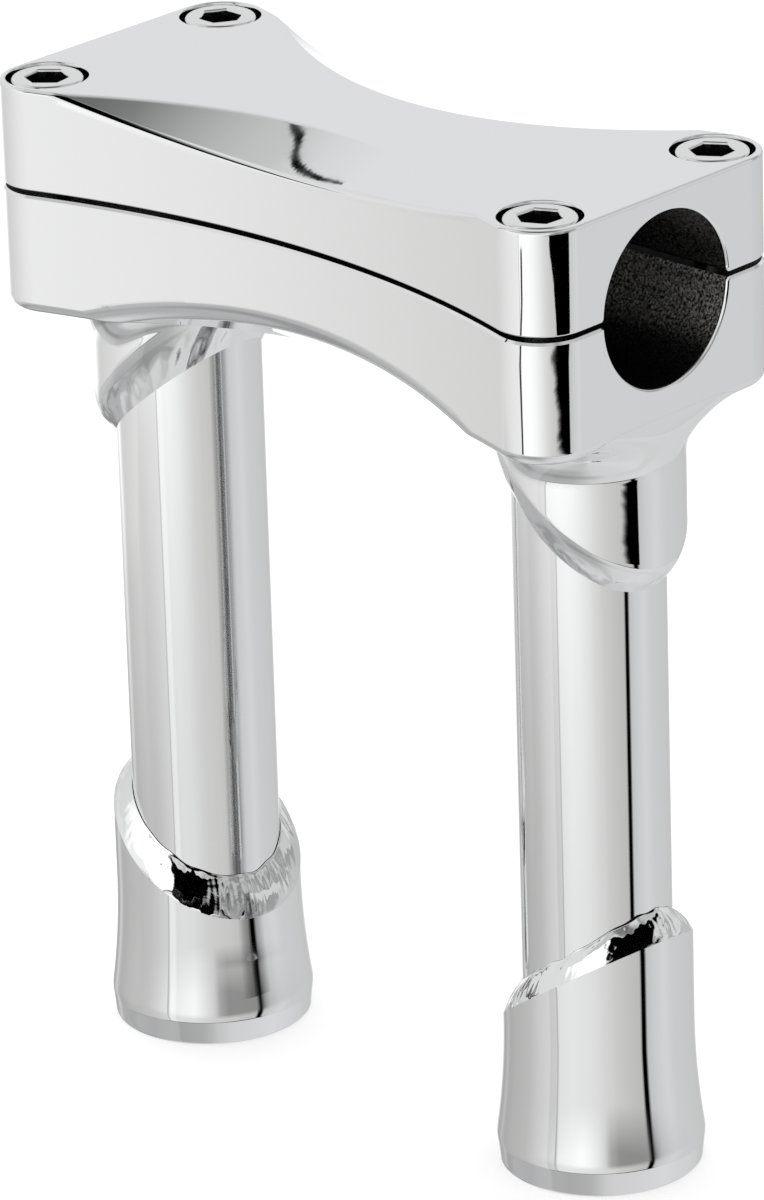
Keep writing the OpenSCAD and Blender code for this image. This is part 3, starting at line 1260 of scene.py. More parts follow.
@dataclass
class LegMaker:
    """Builds and dresses one leg: its tube, foot and two welds.

    Attributes:
        side: Which leg it is.
        turn: How far the foot's slant is turned, in degrees.
        neck: The neck above, whose field also shapes the upper weld.
        chrome: The polished finish.
        ripple_chrome: The finish over the foot's weld.
        smooth_chrome: The finish over the neck's weld.
    """

    side: Side
    turn: float
    neck: Neck
    chrome: bpy.types.Material
    ripple_chrome: bpy.types.Material
    smooth_chrome: bpy.types.Material
    collar: float = 15.6
    collar_height: float = 32.5
    collar_slope: float = 0.6745
    widest: float = 17.1
    seat: float = 16.7
    bevel_height: float = 4.8
    flare_height: float = 25.0

    @property
    def axis(self) -> tuple[float, float]:
        """The leg's axis in x and y."""
        return self.side.value * self.neck.clamp.shape.stance.leg_x, 0.0

    def slant(self, angle: Array) -> Array:
        """Outward share of the slant's uphill direction at an angle."""
        uphill = math.radians(self.turn) if self.side is Side.RIGHT else (
            math.pi - math.radians(self.turn))
        return np.cos(angle - uphill)

    def add(self, node: str, slot: str, points: Array, quads: Array,
            material: bpy.types.Material, angle: float = 32.0) -> bpy.types.Object:
        """Makes the piece that replaces a node.

        Args:
            node: The CAD node's name.
            slot: The record's material slot; not used.
            points: Places in mm.
            quads: The faces.
            material: The finish.
            angle: Angle past which an edge is sharp, in degrees.

        Returns:
            The new object.
        """
        piece = make_object(f"{node}_dressed", make_mesh(node, points, quads))
        piece.data.materials.append(material)
        shade_smooth(piece.data, angle)
        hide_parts(node)
        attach(piece, "root")
        return piece

    def tube(self) -> bpy.types.Object:
        """Builds the tube, open at both ends."""
        radius = self.neck.clamp.shape.stance.tube_radius
        bore = radius - 3.2
        outer = np.stack([np.full(30, radius), np.linspace(16.0, 133.8, 30)], axis=-1)
        inner = np.stack([np.full(4, bore), np.linspace(133.8, 16.0, 4)], axis=-1)
        profile = np.concatenate([outer, inner, outer[:1]])
        points = revolve(profile, 160, self.axis)
        name = f"{self.side.name.lower()}_tube"
        return self.add(name, "polished_chrome", points,
                        ring_faces(len(profile), 160), self.chrome)

    def foot_profile(self) -> Array:
        """The foot's outer section, from the seat up to the collar.

        Formula: a rounded seat edge, a straight bevel, a rounded widest point
        and a hollow arc that ends upright in the collar.
        """
        climb = self.flare_height - self.bevel_height
        spread = self.widest - self.collar
        radius = (climb ** 2 + spread ** 2) / (2.0 * spread)
        lowest = math.degrees(math.asin(climb / radius))
        flare = arc((self.collar + radius, self.flare_height), radius,
                    180.0 + lowest * 0.95, 180.0, 26)
        edge = arc((self.seat - 0.5, 0.5), 0.5, -90.0, 0.0, 5)
        bevel = np.stack([np.linspace(self.seat + 0.02, self.widest - 0.08, 6),
                          np.linspace(0.8, self.bevel_height - 0.9, 6)], axis=-1)
        crown = np.array([[self.widest - 0.04, self.bevel_height - 0.35],
                          [self.widest - 0.05, self.bevel_height + 0.25]])
        return np.concatenate([edge, bevel, crown, flare])

    def foot(self) -> bpy.types.Object:
        """Builds the foot with its slanted collar and its tapped floor."""
        columns = 192
        stance = self.neck.clamp.shape.stance
        profile = self.foot_profile()
        angle = np.arange(columns) * (2.0 * math.pi / columns)
        rim = self.collar_height + self.collar_slope * self.collar * self.slant(angle)
        rim_in = self.collar_height + self.collar_slope * stance.socket_radius * (
            self.slant(angle))
        rows = revolve(profile, columns, self.axis).reshape(len(profile), columns, 3)
        squeeze = np.minimum(1.0, (rim - 14.6) / (self.flare_height - 14.0))
        rows[:, :, 2] = np.where(rows[:, :, 2] > 14.0,
                                 14.0 + (rows[:, :, 2] - 14.0) * squeeze, rows[:, :, 2])
        wall = []
        for w in np.linspace(0.0, 1.0, 10)[1:]:
            row = rows[-1].copy()
            row[:, 2] += w * (rim - row[:, 2])
            wall.append(row)
        inside = np.array([[stance.socket_radius, 30.0], [stance.socket_radius, 16.0],
                           [5.4, 16.0], [5.4, 1.0], [6.4, 0.0], [self.seat - 0.5, 0.0]])
        inner = revolve(inside, columns, self.axis).reshape(len(inside), columns, 3)
        inner[0, :, 2] = rim_in
        grid = np.concatenate([rows, np.stack(wall), inner])
        name = f"{self.side.name.lower()}_foot"
        return self.add(name, "polished_chrome", grid.reshape(-1, 3),
                        ring_faces(len(grid), columns), self.chrome, 28.0)

    def foot_weld(self, skin: WeldSkin) -> bpy.types.Object:
        """Builds the rippled bead round the tube's lower end.

        Formula: across the bead the place runs from the collar's slanted rim to
        a wandering toe on the tube, and is moved outwards by the skin's offset.

        Args:
            skin: The bead's unevenness.

        Returns:
            The new object.
        """
        columns, count = 720, 26
        stance = self.neck.clamp.shape.stance
        angle = (np.arange(columns) * (2.0 * math.pi / columns))[None]
        across = np.linspace(0.0, 1.0, count)[:, None]
        slant = self.slant(angle)
        low = self.collar_height + self.collar_slope * self.collar * slant
        toe = (self.collar_height + self.collar_slope * stance.tube_radius * slant
               + 4.6 + skin.rise * np.clip(slant, 0.0, 1.0) ** 3
               + skin.waver * skin.waves(angle, across * 0.0, 6, 5, 22))
        ring = self.collar + across * (stance.tube_radius - self.collar)
        z = low + across * (toe - low)
        run, climb = self.collar - stance.tube_radius, toe - low
        length = np.hypot(run, climb)
        lift = skin.offset(angle, across, 14.0)
        ring = ring + lift * climb / length
        z = z + lift * run / length
        ring = np.where(across == 0.0, self.collar - 0.02, ring)
        ring = np.where(across == 1.0, stance.tube_radius - 0.05, ring)
        rows = np.stack([self.axis[0] + ring * np.cos(angle), ring * np.sin(angle), z],
                        axis=-1)
        inner = np.stack([rows[-1], rows[0]])
        for row in inner:
            row[:, 0] = self.axis[0] + stance.socket_radius * np.cos(angle[0])
            row[:, 1] = stance.socket_radius * np.sin(angle[0])
        inner[1, :, 2] = (self.collar_height
                          + self.collar_slope * stance.socket_radius * slant[0])
        rows[-1, :, :2] = inner[0, :, :2]
        grid = np.concatenate([rows, inner[1:], rows[:1]])
        name = f"{self.side.name.lower()}_foot_weld"
        return self.add(name, "rippled_weld", grid.reshape(-1, 3),
                        ring_faces(len(grid), columns), self.ripple_chrome, 60.0)

    def neck_weld(self, skin: WeldSkin) -> bpy.types.Object:
        """Builds the ground-down bead round the tube's upper end.

        Formula: the weld's rows come from the neck's field, and are moved along
        its slope by the skin's offset.

        Args:
            skin: The bead's unevenness.

        Returns:
            The new object.
        """
        rows = self.neck.rows(columns=360, weld_rows=26)[0]
        stance = self.neck.clamp.shape.stance
        slope = unit(gradient(self.neck.solid, rows, 0.01))
        angle = np.arctan2(rows[..., 1], rows[..., 0] - self.axis[0])
        across = np.linspace(1.0, 0.0, len(rows))[:, None]
        rows = rows + slope * skin.offset(angle, across, 14.0)[..., None]
        out = unit((rows - (self.axis[0], 0.0, 0.0)) * (1.0, 1.0, 0.0))
        toe = (self.axis[0], 0.0, 0.0) + out[0] * stance.tube_radius
        toe[:, 2] = rows[0, :, 2] + 0.05
        rim = (self.axis[0], 0.0, 0.0) + out[-1] * stance.socket_radius
        rim[:, 2] = rows[-1, :, 2]
        grid = np.stack([*rows, rim, toe, rows[0]])
        name = f"{self.side.name.lower()}_neck_weld"
        return self.add(name, "smoothed_weld", grid.reshape(-1, 3),
                        ring_faces(len(grid), grid.shape[1]), self.smooth_chrome, 60.0)


@dataclass
class ScrewMaker:
    """Builds and dresses the four socket screws as one piece.

    Attributes:
        shape: The clamp's outline.
        chrome: The screws' finish.
        socket: Near-black painted shade down in the sockets.
        top: Height of the clamp's top face.
    """

    shape: ClampShape
    chrome: bpy.types.Material
    socket: bpy.types.Material
    top: float = 170.1

    def grid(self, x: float, y: float, turn: float) -> tuple[Array, Array]:
        """Works out one screw.

        Formula: a profile of radius and height is carried round the axis, and
        the rows of the socket take the radius of a hexagon: half the width
        across its flats over the cosine of the angle from the nearest flat.

        Args:
            x: The screw's place along the bar.
            y: The screw's place across it.
            turn: How the hexagon is turned, in radians.

        Returns:
            The points and the quads.
        """
        columns = 144
        head_top = self.top - 0.1
        seat = head_top - 7.9
        shoulder = arc((5.95 - 0.7, head_top - 0.7), 0.7, 0.0, 90.0, 9)
        angle = np.arange(columns) * (2.0 * math.pi / columns)
        nearest = (angle + math.pi / 6) % (math.pi / 3) - math.pi / 6
        hexagon = 3.175 / np.cos(nearest)
        shaft = np.array([[0.0, 137.9], [2.55, 137.9], [3.25, 138.6], [3.25, 152.9],
                          [3.95, 152.9], [3.95, seat], [5.6, seat], [5.95, seat + 0.3],
                          [5.95, seat + 3.0], [5.95, head_top - 1.2]])
        profile = np.concatenate([shaft, shoulder, [[4.4, head_top]]])
        rows = revolve(profile, columns, (0.0, 0.0)).reshape(len(profile), columns, 3)
        sizes = ((0.42, 0.0), (0.30, -0.03), (0.12, -0.16), (0.0, -0.36), (0.0, -1.5),
                 (0.0, -3.9))
        ring = [np.stack([(hexagon + grow) * np.cos(angle), (hexagon + grow)
                          * np.sin(angle), np.full(columns, head_top + drop)], axis=-1)
                for grow, drop in sizes]
        ring += [np.stack([1.2 * np.cos(angle), 1.2 * np.sin(angle),
                           np.full(columns, head_top - 4.3)], axis=-1),
                 np.broadcast_to((0.0, 0.0, head_top - 4.5), (columns, 3))]
        grid = np.concatenate([rows, np.stack(ring)])
        c, s = math.cos(turn), math.sin(turn)
        turned = grid @ np.array([[c, s, 0.0], [-s, c, 0.0], [0.0, 0.0, 1.0]])
        return (turned + (x, y, 0.0)).reshape(-1, 3), ring_faces(len(grid), columns)

    def build(self) -> bpy.types.Object:
        """Builds the four screws and returns their object."""
        turns = {(-1, -1): 0.16, (-1, 1): 0.5, (1, -1): -0.07, (1, 1): 0.05}
        parts = [self.grid(x * self.shape.screw_x, y * self.shape.screw_y, turn)
                 for (x, y), turn in turns.items()]
        points = np.concatenate([p for p, _ in parts])
        starts = np.cumsum([0] + [len(p) for p, _ in parts[:-1]])
        quads = np.concatenate([q + s for (_, q), s in zip(parts, starts)])
        piece = make_object("clamp_screws_dressed", make_mesh("screws", points, quads))
        piece.data.materials.append(self.chrome)
        piece.data.materials.append(self.socket)
        centres = corner_places(piece.data)[2]
        across = np.hypot(np.abs(centres[:, 0]) - self.shape.screw_x,
                          np.abs(centres[:, 1]) - self.shape.screw_y)
        # Faces down in the hex sockets take near-black painted shade.
        socket_shade_faces = (across < 3.69) & (centres[:, 2] > 160.0) & (
            centres[:, 2] < self.top - 0.65)
        piece.data.polygons.foreach_set("material_index", socket_shade_faces.astype(np.int32))
        shade_smooth(piece.data, 30.0)
        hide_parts("clamp_screws")
        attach(piece, "root")
        return piece


@dataclass(frozen=True)
class Studio:
    """Floor, surroundings, lamps and camera.

    Attributes:
        azimuth: The camera's direction round the object, in degrees.
        elevation: The camera's height above the horizon, in degrees.
        roll: The camera's roll, in degrees.
        distance: Distance from the aim point, in mm.
        focal: Focal length in pixels of the 1200 pixel high frame.
        shift: Offset of the aim point from the frame's middle, in pixels.
        aim_height: Height of the aim point, in mm.
        level_ring: Brightness by azimuth of what upright faces mirror.
        low_ring: The same nearer to the horizon, which the flares mirror.
        sill_ring: The same of the thin dark edge below the level ring.
        ground_ring: The same further down, which overhanging faces mirror.
        shelf_ring: The same of a darker band across that.
        front_ring: The same just above the horizon at the front and right.
        upper_ring: The same higher up at the front and right.
        front_share: How much of those two shows, by azimuth.
        sky: Brightness by elevation above the horizon elsewhere.
    """

    azimuth: float = 44.0992
    elevation: float = 22.2464
    roll: float = -1.7936
    distance: float = 1290.64
    focal: float = 7909.73
    shift: tuple[float, float] = (7.330, -5.655)
    aim_height: float = 85.0
    level_ring: Stops = (
        (-180, 0.765, 0.0), (-160, 0.74, 0.0), (-152, 0.80, 0.0), (-144, 0.95, 0.0),
        (-138, 1.0, 0.0), (-106, 1.0, 0.0), (-100, 0.92, 0.0), (-94, 0.83, 0.006),
        (-88, 0.803, 0.008), (-64, 0.835, 0.008), (-32, 0.89, 0.006),
        (-9.0, 0.915, 0.004), (-8, 0.60, 0.0), (-7.0, 1.0, 0.0), (10, 1.0, 0.0),
        (24, 0.965, 0.0), (40, 0.89, 0.004), (48, 0.845, 0.008), (62, 0.785, 0.012),
        (80, 0.745, 0.012), (94.0, 0.72, 0.012), (94.6, 0.0, 0.0), (101.0, 0.0, 0.0),
        (101.6, 0.74, -0.004), (112, 0.785, -0.004), (128, 0.82, -0.004),
        (144, 0.785, -0.006), (180, 0.765, 0.0))
    low_ring: Stops = (
        (-180, 0.72, 0.0), (-150, 0.70, 0.0), (-142, 1.0, 0.0), (-118, 1.0, 0.0),
        (-106, 0.80, 0.0), (-72, 0.81, 0.008), (-40, 0.87, 0.006), (-16, 0.95, 0.0),
        (-9.5, 0.98, 0.0), (-8, 0.60, 0.0), (-6.5, 1.05, 0.0), (22, 1.08, 0.0),
        (32, 1.0, 0.0), (40, 0.92, 0.0), (46, 0.84, 0.008), (52, 0.66, 0.010),
        (62, 0.55, 0.010), (94, 0.54, 0.010), (96, 0.42, 0.0), (97.5, 0.10, 0.0),
        (100, 0.10, 0.0), (102, 0.40, 0.0), (106, 0.60, 0.0), (112, 0.71, -0.004),
        (124, 0.76, -0.004), (160, 0.745, -0.004), (180, 0.72, 0.0))
    sill_ring: Stops = (
        (-180, 0.79, 0.0), (-20, 0.77, 0.0), (-8, 0.60, 0.0), (50, 0.56, 0.0),
        (64, 0.25, 0.0), (72, 0.0, 0.0), (101, 0.0, 0.0), (104, 0.60, 0.0),
        (110, 0.79, 0.0), (180, 0.79, 0.0))
    ground_ring: Stops = (
        (-180, 0.80, 0.0), (-135, 0.82, 0.0), (-60, 0.81, -0.004), (-30, 0.79, -0.004),
        (-8, 0.77, 0.0), (2, 0.74, 0.0), (30, 0.74, 0.0), (48, 0.80, 0.0),
        (80, 0.81, -0.004), (120, 0.835, -0.006), (150, 0.81, -0.006), (180, 0.80, 0.0))
    shelf_ring: Stops = (
        (-180, 0.78, 0.0), (-140, 0.71, -0.006), (-50, 0.70, -0.006), (-30, 0.77, 0.0),
        (0, 0.66, 0.0), (40, 0.68, 0.0), (70, 0.80, 0.0), (180, 0.80, 0.0))
    front_ring: Stops = (
        (-180, 0.82, 0.0), (-92, 0.82, 0.0), (-86, 0.85, 0.0), (-48, 0.87, 0.0),
        (-40, 0.93, 0.0), (-4, 0.93, 0.0), (12, 0.92, 0.0), (60, 0.90, 0.0),
        (66, 0.60, 0.0), (80, 0.45, 0.0), (92, 0.66, 0.0), (104, 0.42, 0.0),
        (114, 0.60, 0.0), (127, 0.62, 0.0), (131, 0.80, 0.0), (142, 0.80, 0.0),
        (148, 0.60, 0.0), (168, 0.62, 0.0), (180, 0.82, 0.0))
    upper_ring: Stops = (
        (-180, 0.80, 0.0), (-92, 0.80, 0.0), (-84, 0.85, 0.0), (-48, 0.85, 0.0),
        (-40, 0.74, 0.0), (6, 0.74, 0.0), (14, 0.80, 0.0), (62, 0.82, 0.0),
        (72, 0.78, 0.0), (90, 0.60, 0.0), (110, 0.74, 0.0), (180, 0.72, 0.0))
    front_share: Stops = (
        (-180, 0.0, 0.0), (-94, 0.0, 0.0), (-90, 0.956, 0.0), (172, 0.956, 0.0),
        (180, 0.0, 0.0))
    sky: Stops = (
        (0, 0.84, -0.003), (20, 0.855, -0.006), (38, 0.86, -0.006),
        (45, 0.83, -0.004), (49, 0.79, 0.0), (51, 0.755, 0.0), (55, 0.74, 0.0),
        (59, 0.70, 0.0), (63, 0.65, 0.0), (67, 0.58, 0.0), (71, 0.49, 0.0),
        (76, 0.42, 0.0), (90, 0.25, 0.0))

    def camera(self) -> bpy.types.Object:
        """Makes the camera at the photograph's view.

        Formula: the view's axes come from azimuth, elevation and roll, and the
        camera stands back from the aim point by the distance and to the side by
        the offset in the frame.

        Returns:
            The camera.
        """
        a, e = math.radians(self.azimuth), math.radians(self.elevation)
        r = math.radians(self.roll)
        ahead = Vector((-math.sin(a) * math.cos(e), math.cos(a) * math.cos(e),
                        -math.sin(e)))
        right = Vector((math.cos(a), math.sin(a), 0.0))
        up = right.cross(ahead)
        level = math.cos(r) * right + math.sin(r) * up
        upright = math.cos(r) * up - math.sin(r) * right
        place = (Vector((0.0, 0.0, self.aim_height)) - ahead * self.distance
                 - level * (self.shift[0] * self.distance / self.focal)
                 - upright * (self.shift[1] * self.distance / self.focal))
        data = bpy.data.cameras.new("camera")
        data.sensor_width = 36.0
        data.lens = 36.0 * self.focal / max(IMAGE_WIDTH, IMAGE_HEIGHT)
        camera = bpy.data.objects.new("camera", data)
        turn = Matrix((level, upright, -ahead)).transposed().to_4x4()
        camera.matrix_world = Matrix.Translation(place * METRES_PER_MM) @ turn
        bpy.context.scene.collection.objects.link(camera)
        bpy.context.scene.camera = camera
        return camera

    def floor(self) -> bpy.types.Object:
        """Makes the pale floor, which the object's metal doesn't mirror."""
        angle = np.arange(96) * (2.0 * math.pi / 96)
        radius = np.array([0.0, 200.0, 600.0, 1600.0, 6000.0])[:, None]
        points = np.stack([radius * np.cos(angle), radius * np.sin(angle),
                           np.full((5, 96), -0.05)], axis=-1).reshape(-1, 3)
        mesh = bpy.data.meshes.new("floor")
        mesh.from_pydata((points * METRES_PER_MM).tolist(), [],
                         ring_faces(5, 96, True).tolist())
        floor = make_object("floor", mesh)
        board = NodeBoard.for_material("white_floor")
        shade = board.add("ShaderNodeBsdfDiffuse")
        shade.inputs["Color"].default_value = (0.55, 0.55, 0.55, 1.0)
        glow = board.add("ShaderNodeEmission")
        glow.inputs["Strength"].default_value = 0.6
        seen = board.add("ShaderNodeLightPath").outputs["Is Camera Ray"]
        hidden = board.add("ShaderNodeMixShader")
        dark = board.add("ShaderNodeEmission")
        dark.inputs["Strength"].default_value = 0.0
        board.link(seen, hidden.inputs["Fac"])
        board.link(dark.outputs["Emission"], hidden.inputs[1])
        board.link(glow.outputs["Emission"], hidden.inputs[2])
        total = board.add("ShaderNodeAddShader")
        board.link(shade.outputs["BSDF"], total.inputs[0])
        board.link(hidden.outputs["Shader"], total.inputs[1])
        board.link(total.outputs["Shader"], board.output.inputs["Surface"])
        mesh.materials.append(board.material)
        floor.visible_glossy = False
        return floor

    def world(self) -> None:
        """Makes the surroundings: a pale tent with a few dark gaps."""
        world = bpy.data.worlds.new("tent")
        world.use_nodes = True
        bpy.context.scene.world = world
        tree = world.node_tree
        tree.nodes.clear()
        board = NodeBoard(tree, tree.nodes.new("ShaderNodeOutputWorld"))
        place = board.add("ShaderNodeTexCoord").outputs["Generated"]
        split = board.add("ShaderNodeSeparateXYZ")
        board.link(place, split.inputs["Vector"])
        x, y, z = (split.outputs[k] for k in ("X", "Y", "Z"))
        turn = board.math("ARCTAN2", x, board.math("MULTIPLY", y, -1.0))
        around = board.math("ADD", board.math("DIVIDE", turn, 2.0 * math.pi), 0.5)
        lift = board.math("DIVIDE", board.math("ARCSINE", z), math.pi / 2)
        rings = {stops: self.ramp(board, around, stops, 360.0) for stops in (
            self.level_ring, self.low_ring, self.sill_ring, self.ground_ring,
            self.shelf_ring, self.front_ring, self.upper_ring, self.front_share)}
        sky = self.ramp(board, lift, self.sky, 90.0)
        front = self.blend(board, lift, 0.29, 0.36, rings[self.front_ring],
                           rings[self.upper_ring])
        front = self.blend(board, lift, 0.68, 0.76, front, sky)
        high = self.blend(board, rings[self.front_share], 0.0, 1.0, sky, front)
        tone = self.blend(board, lift, -0.02, 0.05, rings[self.low_ring], high)
        for start, end, stops in (
                (-0.135, -0.205, self.level_ring), (-0.332, -0.338, self.sill_ring),
                (-0.346, -0.352, self.ground_ring), (-0.455, -0.485, self.shelf_ring),
                (-0.540, -0.575, self.ground_ring)):
            tone = self.blend(board, lift, start, end, tone, rings[stops])
        paths = board.add("ShaderNodeLightPath").outputs
        backdrop = board.add("ShaderNodeMix")
        backdrop.data_type = "RGBA"
        board.link(paths["Is Camera Ray"], backdrop.inputs["Factor"])
        board.link(tone, backdrop.inputs[6])
        backdrop.inputs[7].default_value = (1.0, 1.0, 1.0, 1.0)
        tent = board.add("ShaderNodeBackground")
        board.link(backdrop.outputs[2], tent.inputs["Color"])
        plain = board.add("ShaderNodeBackground")
        plain.inputs["Color"].default_value = (0.7, 0.7, 0.7, 1.0)
        shown = board.math("MAXIMUM", paths["Is Camera Ray"], board.math(
            "MAXIMUM", paths["Is Glossy Ray"], paths["Is Transmission Ray"]))
        choice = board.add("ShaderNodeMixShader")
        board.link(shown, choice.inputs["Fac"])
        board.link(plain.outputs["Background"], choice.inputs[1])
        board.link(tent.outputs["Background"], choice.inputs[2])
        board.link(choice.outputs["Shader"], board.output.inputs["Surface"])

    @staticmethod
    def blend(board: NodeBoard, value: bpy.types.NodeSocket, start: float, end: float,
              first: bpy.types.NodeSocket,
              second: bpy.types.NodeSocket) -> bpy.types.NodeSocket:
        """Goes over from one colour to another as a value passes from start to end.

        Args:
            board: The board to add the nodes to.
            value: The socket with the value.
            start: Value at which only the first colour shows.
            end: Value at which only the second one shows.
            first: The first colour's socket.
            second: The second colour's socket.

        Returns:
            The socket with the mixed colour.
        """
        share = board.add("ShaderNodeMapRange")
        board.link(value, share.inputs["Value"])
        share.inputs["From Min"].default_value = start
        share.inputs["From Max"].default_value = end
        node = board.add("ShaderNodeMix")
        node.data_type = "RGBA"
        board.link(share.outputs["Result"], node.inputs["Factor"])
        board.link(first, node.inputs[6])
        board.link(second, node.inputs[7])
        return node.outputs[2]

    @staticmethod
    def ramp(board: NodeBoard, value: bpy.types.NodeSocket, stops: Stops,
             span: float) -> bpy.types.NodeSocket:
        """Adds a ramp of greys by direction.

        Formula: a stop's light is its brightness as seen in the plating, raised
        to 2.2 and divided by the plating's reflectance, and its warmth moves
        light from blue to red.

        Args:
            board: The board to add it to.
            value: The socket with the direction, as a share of the span.
            stops: Angle in degrees, brightness and warmth of each stop.
            span: Degrees over which the ramp runs: 360 round the horizon, and
                90 up from it.

        Returns:
            The socket with the colour.
        """
        node = board.add("ShaderNodeValToRGB")
        ramp = node.color_ramp
        for index, (angle, seen, warmth) in enumerate(stops):
            position = angle / span + (0.5 if span == 360.0 else 0.0)
            if index == 0:
                stop = ramp.elements[0]
            elif index == len(stops) - 1:
                stop = ramp.elements[len(ramp.elements) - 1]
            else:
                stop = ramp.elements.new(position)
            stop.position = position
            light = seen ** 2.2 / 0.9
            stop.color = (light * (1.0 + warmth), light, light * (1.0 - warmth), 1.0)
        board.link(value, node.inputs["Fac"])
        return node.outputs["Color"]

    def gauze(self, name: str, points: Array, clear: Array,
              back_clear: bool = False) -> bpy.types.Object:
        """Hangs a sheet that dims what the metal mirrors through it.

        Formula: the sheet's own colour multiplies the light that passes through,
        from 0 where it is black to 1 where it is clear.

        Args:
            name: The sheet's name.
            points: Grid of places in mm.
            clear: How much light passes at each of them.
            back_clear: Whether all light passes that comes from its back.

        Returns:
            The sheet.
        """
        rows, columns = clear.shape
        corner = (np.arange((rows - 1) * columns).reshape(rows - 1, columns)[:, :-1]
                  .reshape(-1, 1))
        quads = corner + np.array([0, 1, columns + 1, columns])
        mesh = bpy.data.meshes.new(name)
        mesh.from_pydata((points.reshape(-1, 3) * METRES_PER_MM).tolist(), [],
                         quads.tolist())
        field = mesh.attributes.new("clear", "FLOAT", "POINT")
        field.data.foreach_set("value", clear.ravel().astype(np.float32))
        board = NodeBoard.for_material(name)
        tone = board.add("ShaderNodeAttribute")
        tone.attribute_name = "clear"
        sheet = board.add("ShaderNodeBsdfTransparent")
        passes = tone.outputs["Fac"]
        if back_clear:
            back = board.add("ShaderNodeNewGeometry").outputs["Backfacing"]
            passes = board.math("MAXIMUM", passes, back)
        board.link(passes, sheet.inputs["Color"])
        board.link(sheet.outputs["BSDF"], board.output.inputs["Surface"])
        mesh.materials.append(board.material)
        card = make_object(name, mesh)
        card.visible_camera = False
        card.visible_diffuse = False
        card.visible_shadow = False
        return card

    @staticmethod
    def wall(angle: Array, height: Array, centre: tuple[float, float] = (60.0, -15.0),
             radius: float = 200.0) -> Array:
        """Places of angles and heights on an upright round wall."""
        turn = np.radians(angle)
        return np.stack([centre[0] + radius * np.sin(turn),
                         centre[1] - radius * np.cos(turn), height], axis=-1)

    @staticmethod
    def frayed(places: Array, seed: int, count: int = 9) -> Array:
        """Unevenness of a cloth's edge along its length, from about -1 to 1."""
        draw = np.random.default_rng(seed)
        total = np.zeros(np.shape(places))
        for size, phase in zip(draw.uniform(0.4, 6.0, count),
                               draw.uniform(0.0, 6.3, count)):
            total = total + np.sin(places * size + phase)
        return total / math.sqrt(count)

    def corner_cloth(self) -> None:
        """Hangs the black cloth that the clamp's corner and the neck mirror.

        Formula: at each height the cloth reaches from a left edge to a right
        one, and frays out over a few degrees to its left.
        """
        height = np.linspace(22.0, 150.0, 257)[:, None]
        angle = np.linspace(52.0, 109.0, 191)[None]
        left = np.interp(height, [22, 25, 38, 46, 54, 58, 64, 72, 77, 79, 84, 90, 97,
                                  150],
                         [99, 92, 89, 93, 88, 80, 76, 72, 60, 73, 71, 68, 60, 55])
        right = np.interp(height, [22, 25, 44, 46, 56, 74, 80, 96, 150],
                          [103, 106, 104, 98, 99, 100, 105, 107, 107])
        soft = np.interp(height, [22, 44, 56, 76, 78, 150], [7, 6, 11, 8, 1, 1])
        edge = left + 0.35 * soft * self.frayed(height, 5)
        clear = np.clip(np.maximum((edge - angle) / soft, (angle - right) / 0.6), 0, 1)
        self.gauze("corner_cloth", self.wall(angle + 0.0 * height, height + 0.0 * angle),
                   clear ** 1.6)

    def thin_cord(self) -> None:
        """Hangs the black cord that the clamp's corner mirrors as a thin line."""
        height = np.linspace(52.0, 100.0, 25)[:, None]
        angle = np.interp(height, [52, 64, 78, 90, 100], [-9.5, -10.0, -11.8, -4.0, -3.0])
        across = np.array([-2.4, -1.4, 1.4, 2.4])[None]
        clear = np.array([1.0, 0.03, 0.03, 1.0]) + 0.0 * height
        self.gauze("thin_cord", self.wall(angle + across, height + 0.0 * across), clear)

    def leg_gauze(self) -> None:
        """Hangs grey gauze low down, which only the legs mirror.

        Formula: what it lets through follows the angle round the riser, and grows
        with the height up to its top edge, which is lower on the left.
        """
        angle = np.linspace(-132.0, 62.0, 195)[None]
        height = np.linspace(-420.0, 46.0, 118)[:, None]
        passes = np.interp(angle, [-132, -126, -119, -112, -104, -96, -72, -40, -24, -9,
                                   -6, 16, 32, 48, 62],
                           [1.0, 0.95, 0.82, 0.73, 0.76, 0.86, 0.88, 0.88, 0.91, 0.93,
                            0.89, 0.915, 0.93, 0.97, 1.0])
        top = np.interp(angle, [-132, -106, -98, -60, -50, 62],
                        [34.0, 34.0, 8.0, 8.0, 34.0, 34.0])
        shown = np.interp(height - top, [-454.0, -274.0, -94.0, -54.0, -34.0, -14.0, 0.0],
                          [0.0, 1.35, 1.35, 1.0, 0.7, 0.45, 0.0])
        passes = 1.0 - (1.0 - passes) * shown
        self.gauze("leg_gauze", self.wall(angle + 0.0 * height, height + 0.0 * angle,
                                          (0.0, 0.0), 260.0), passes ** 2.2)

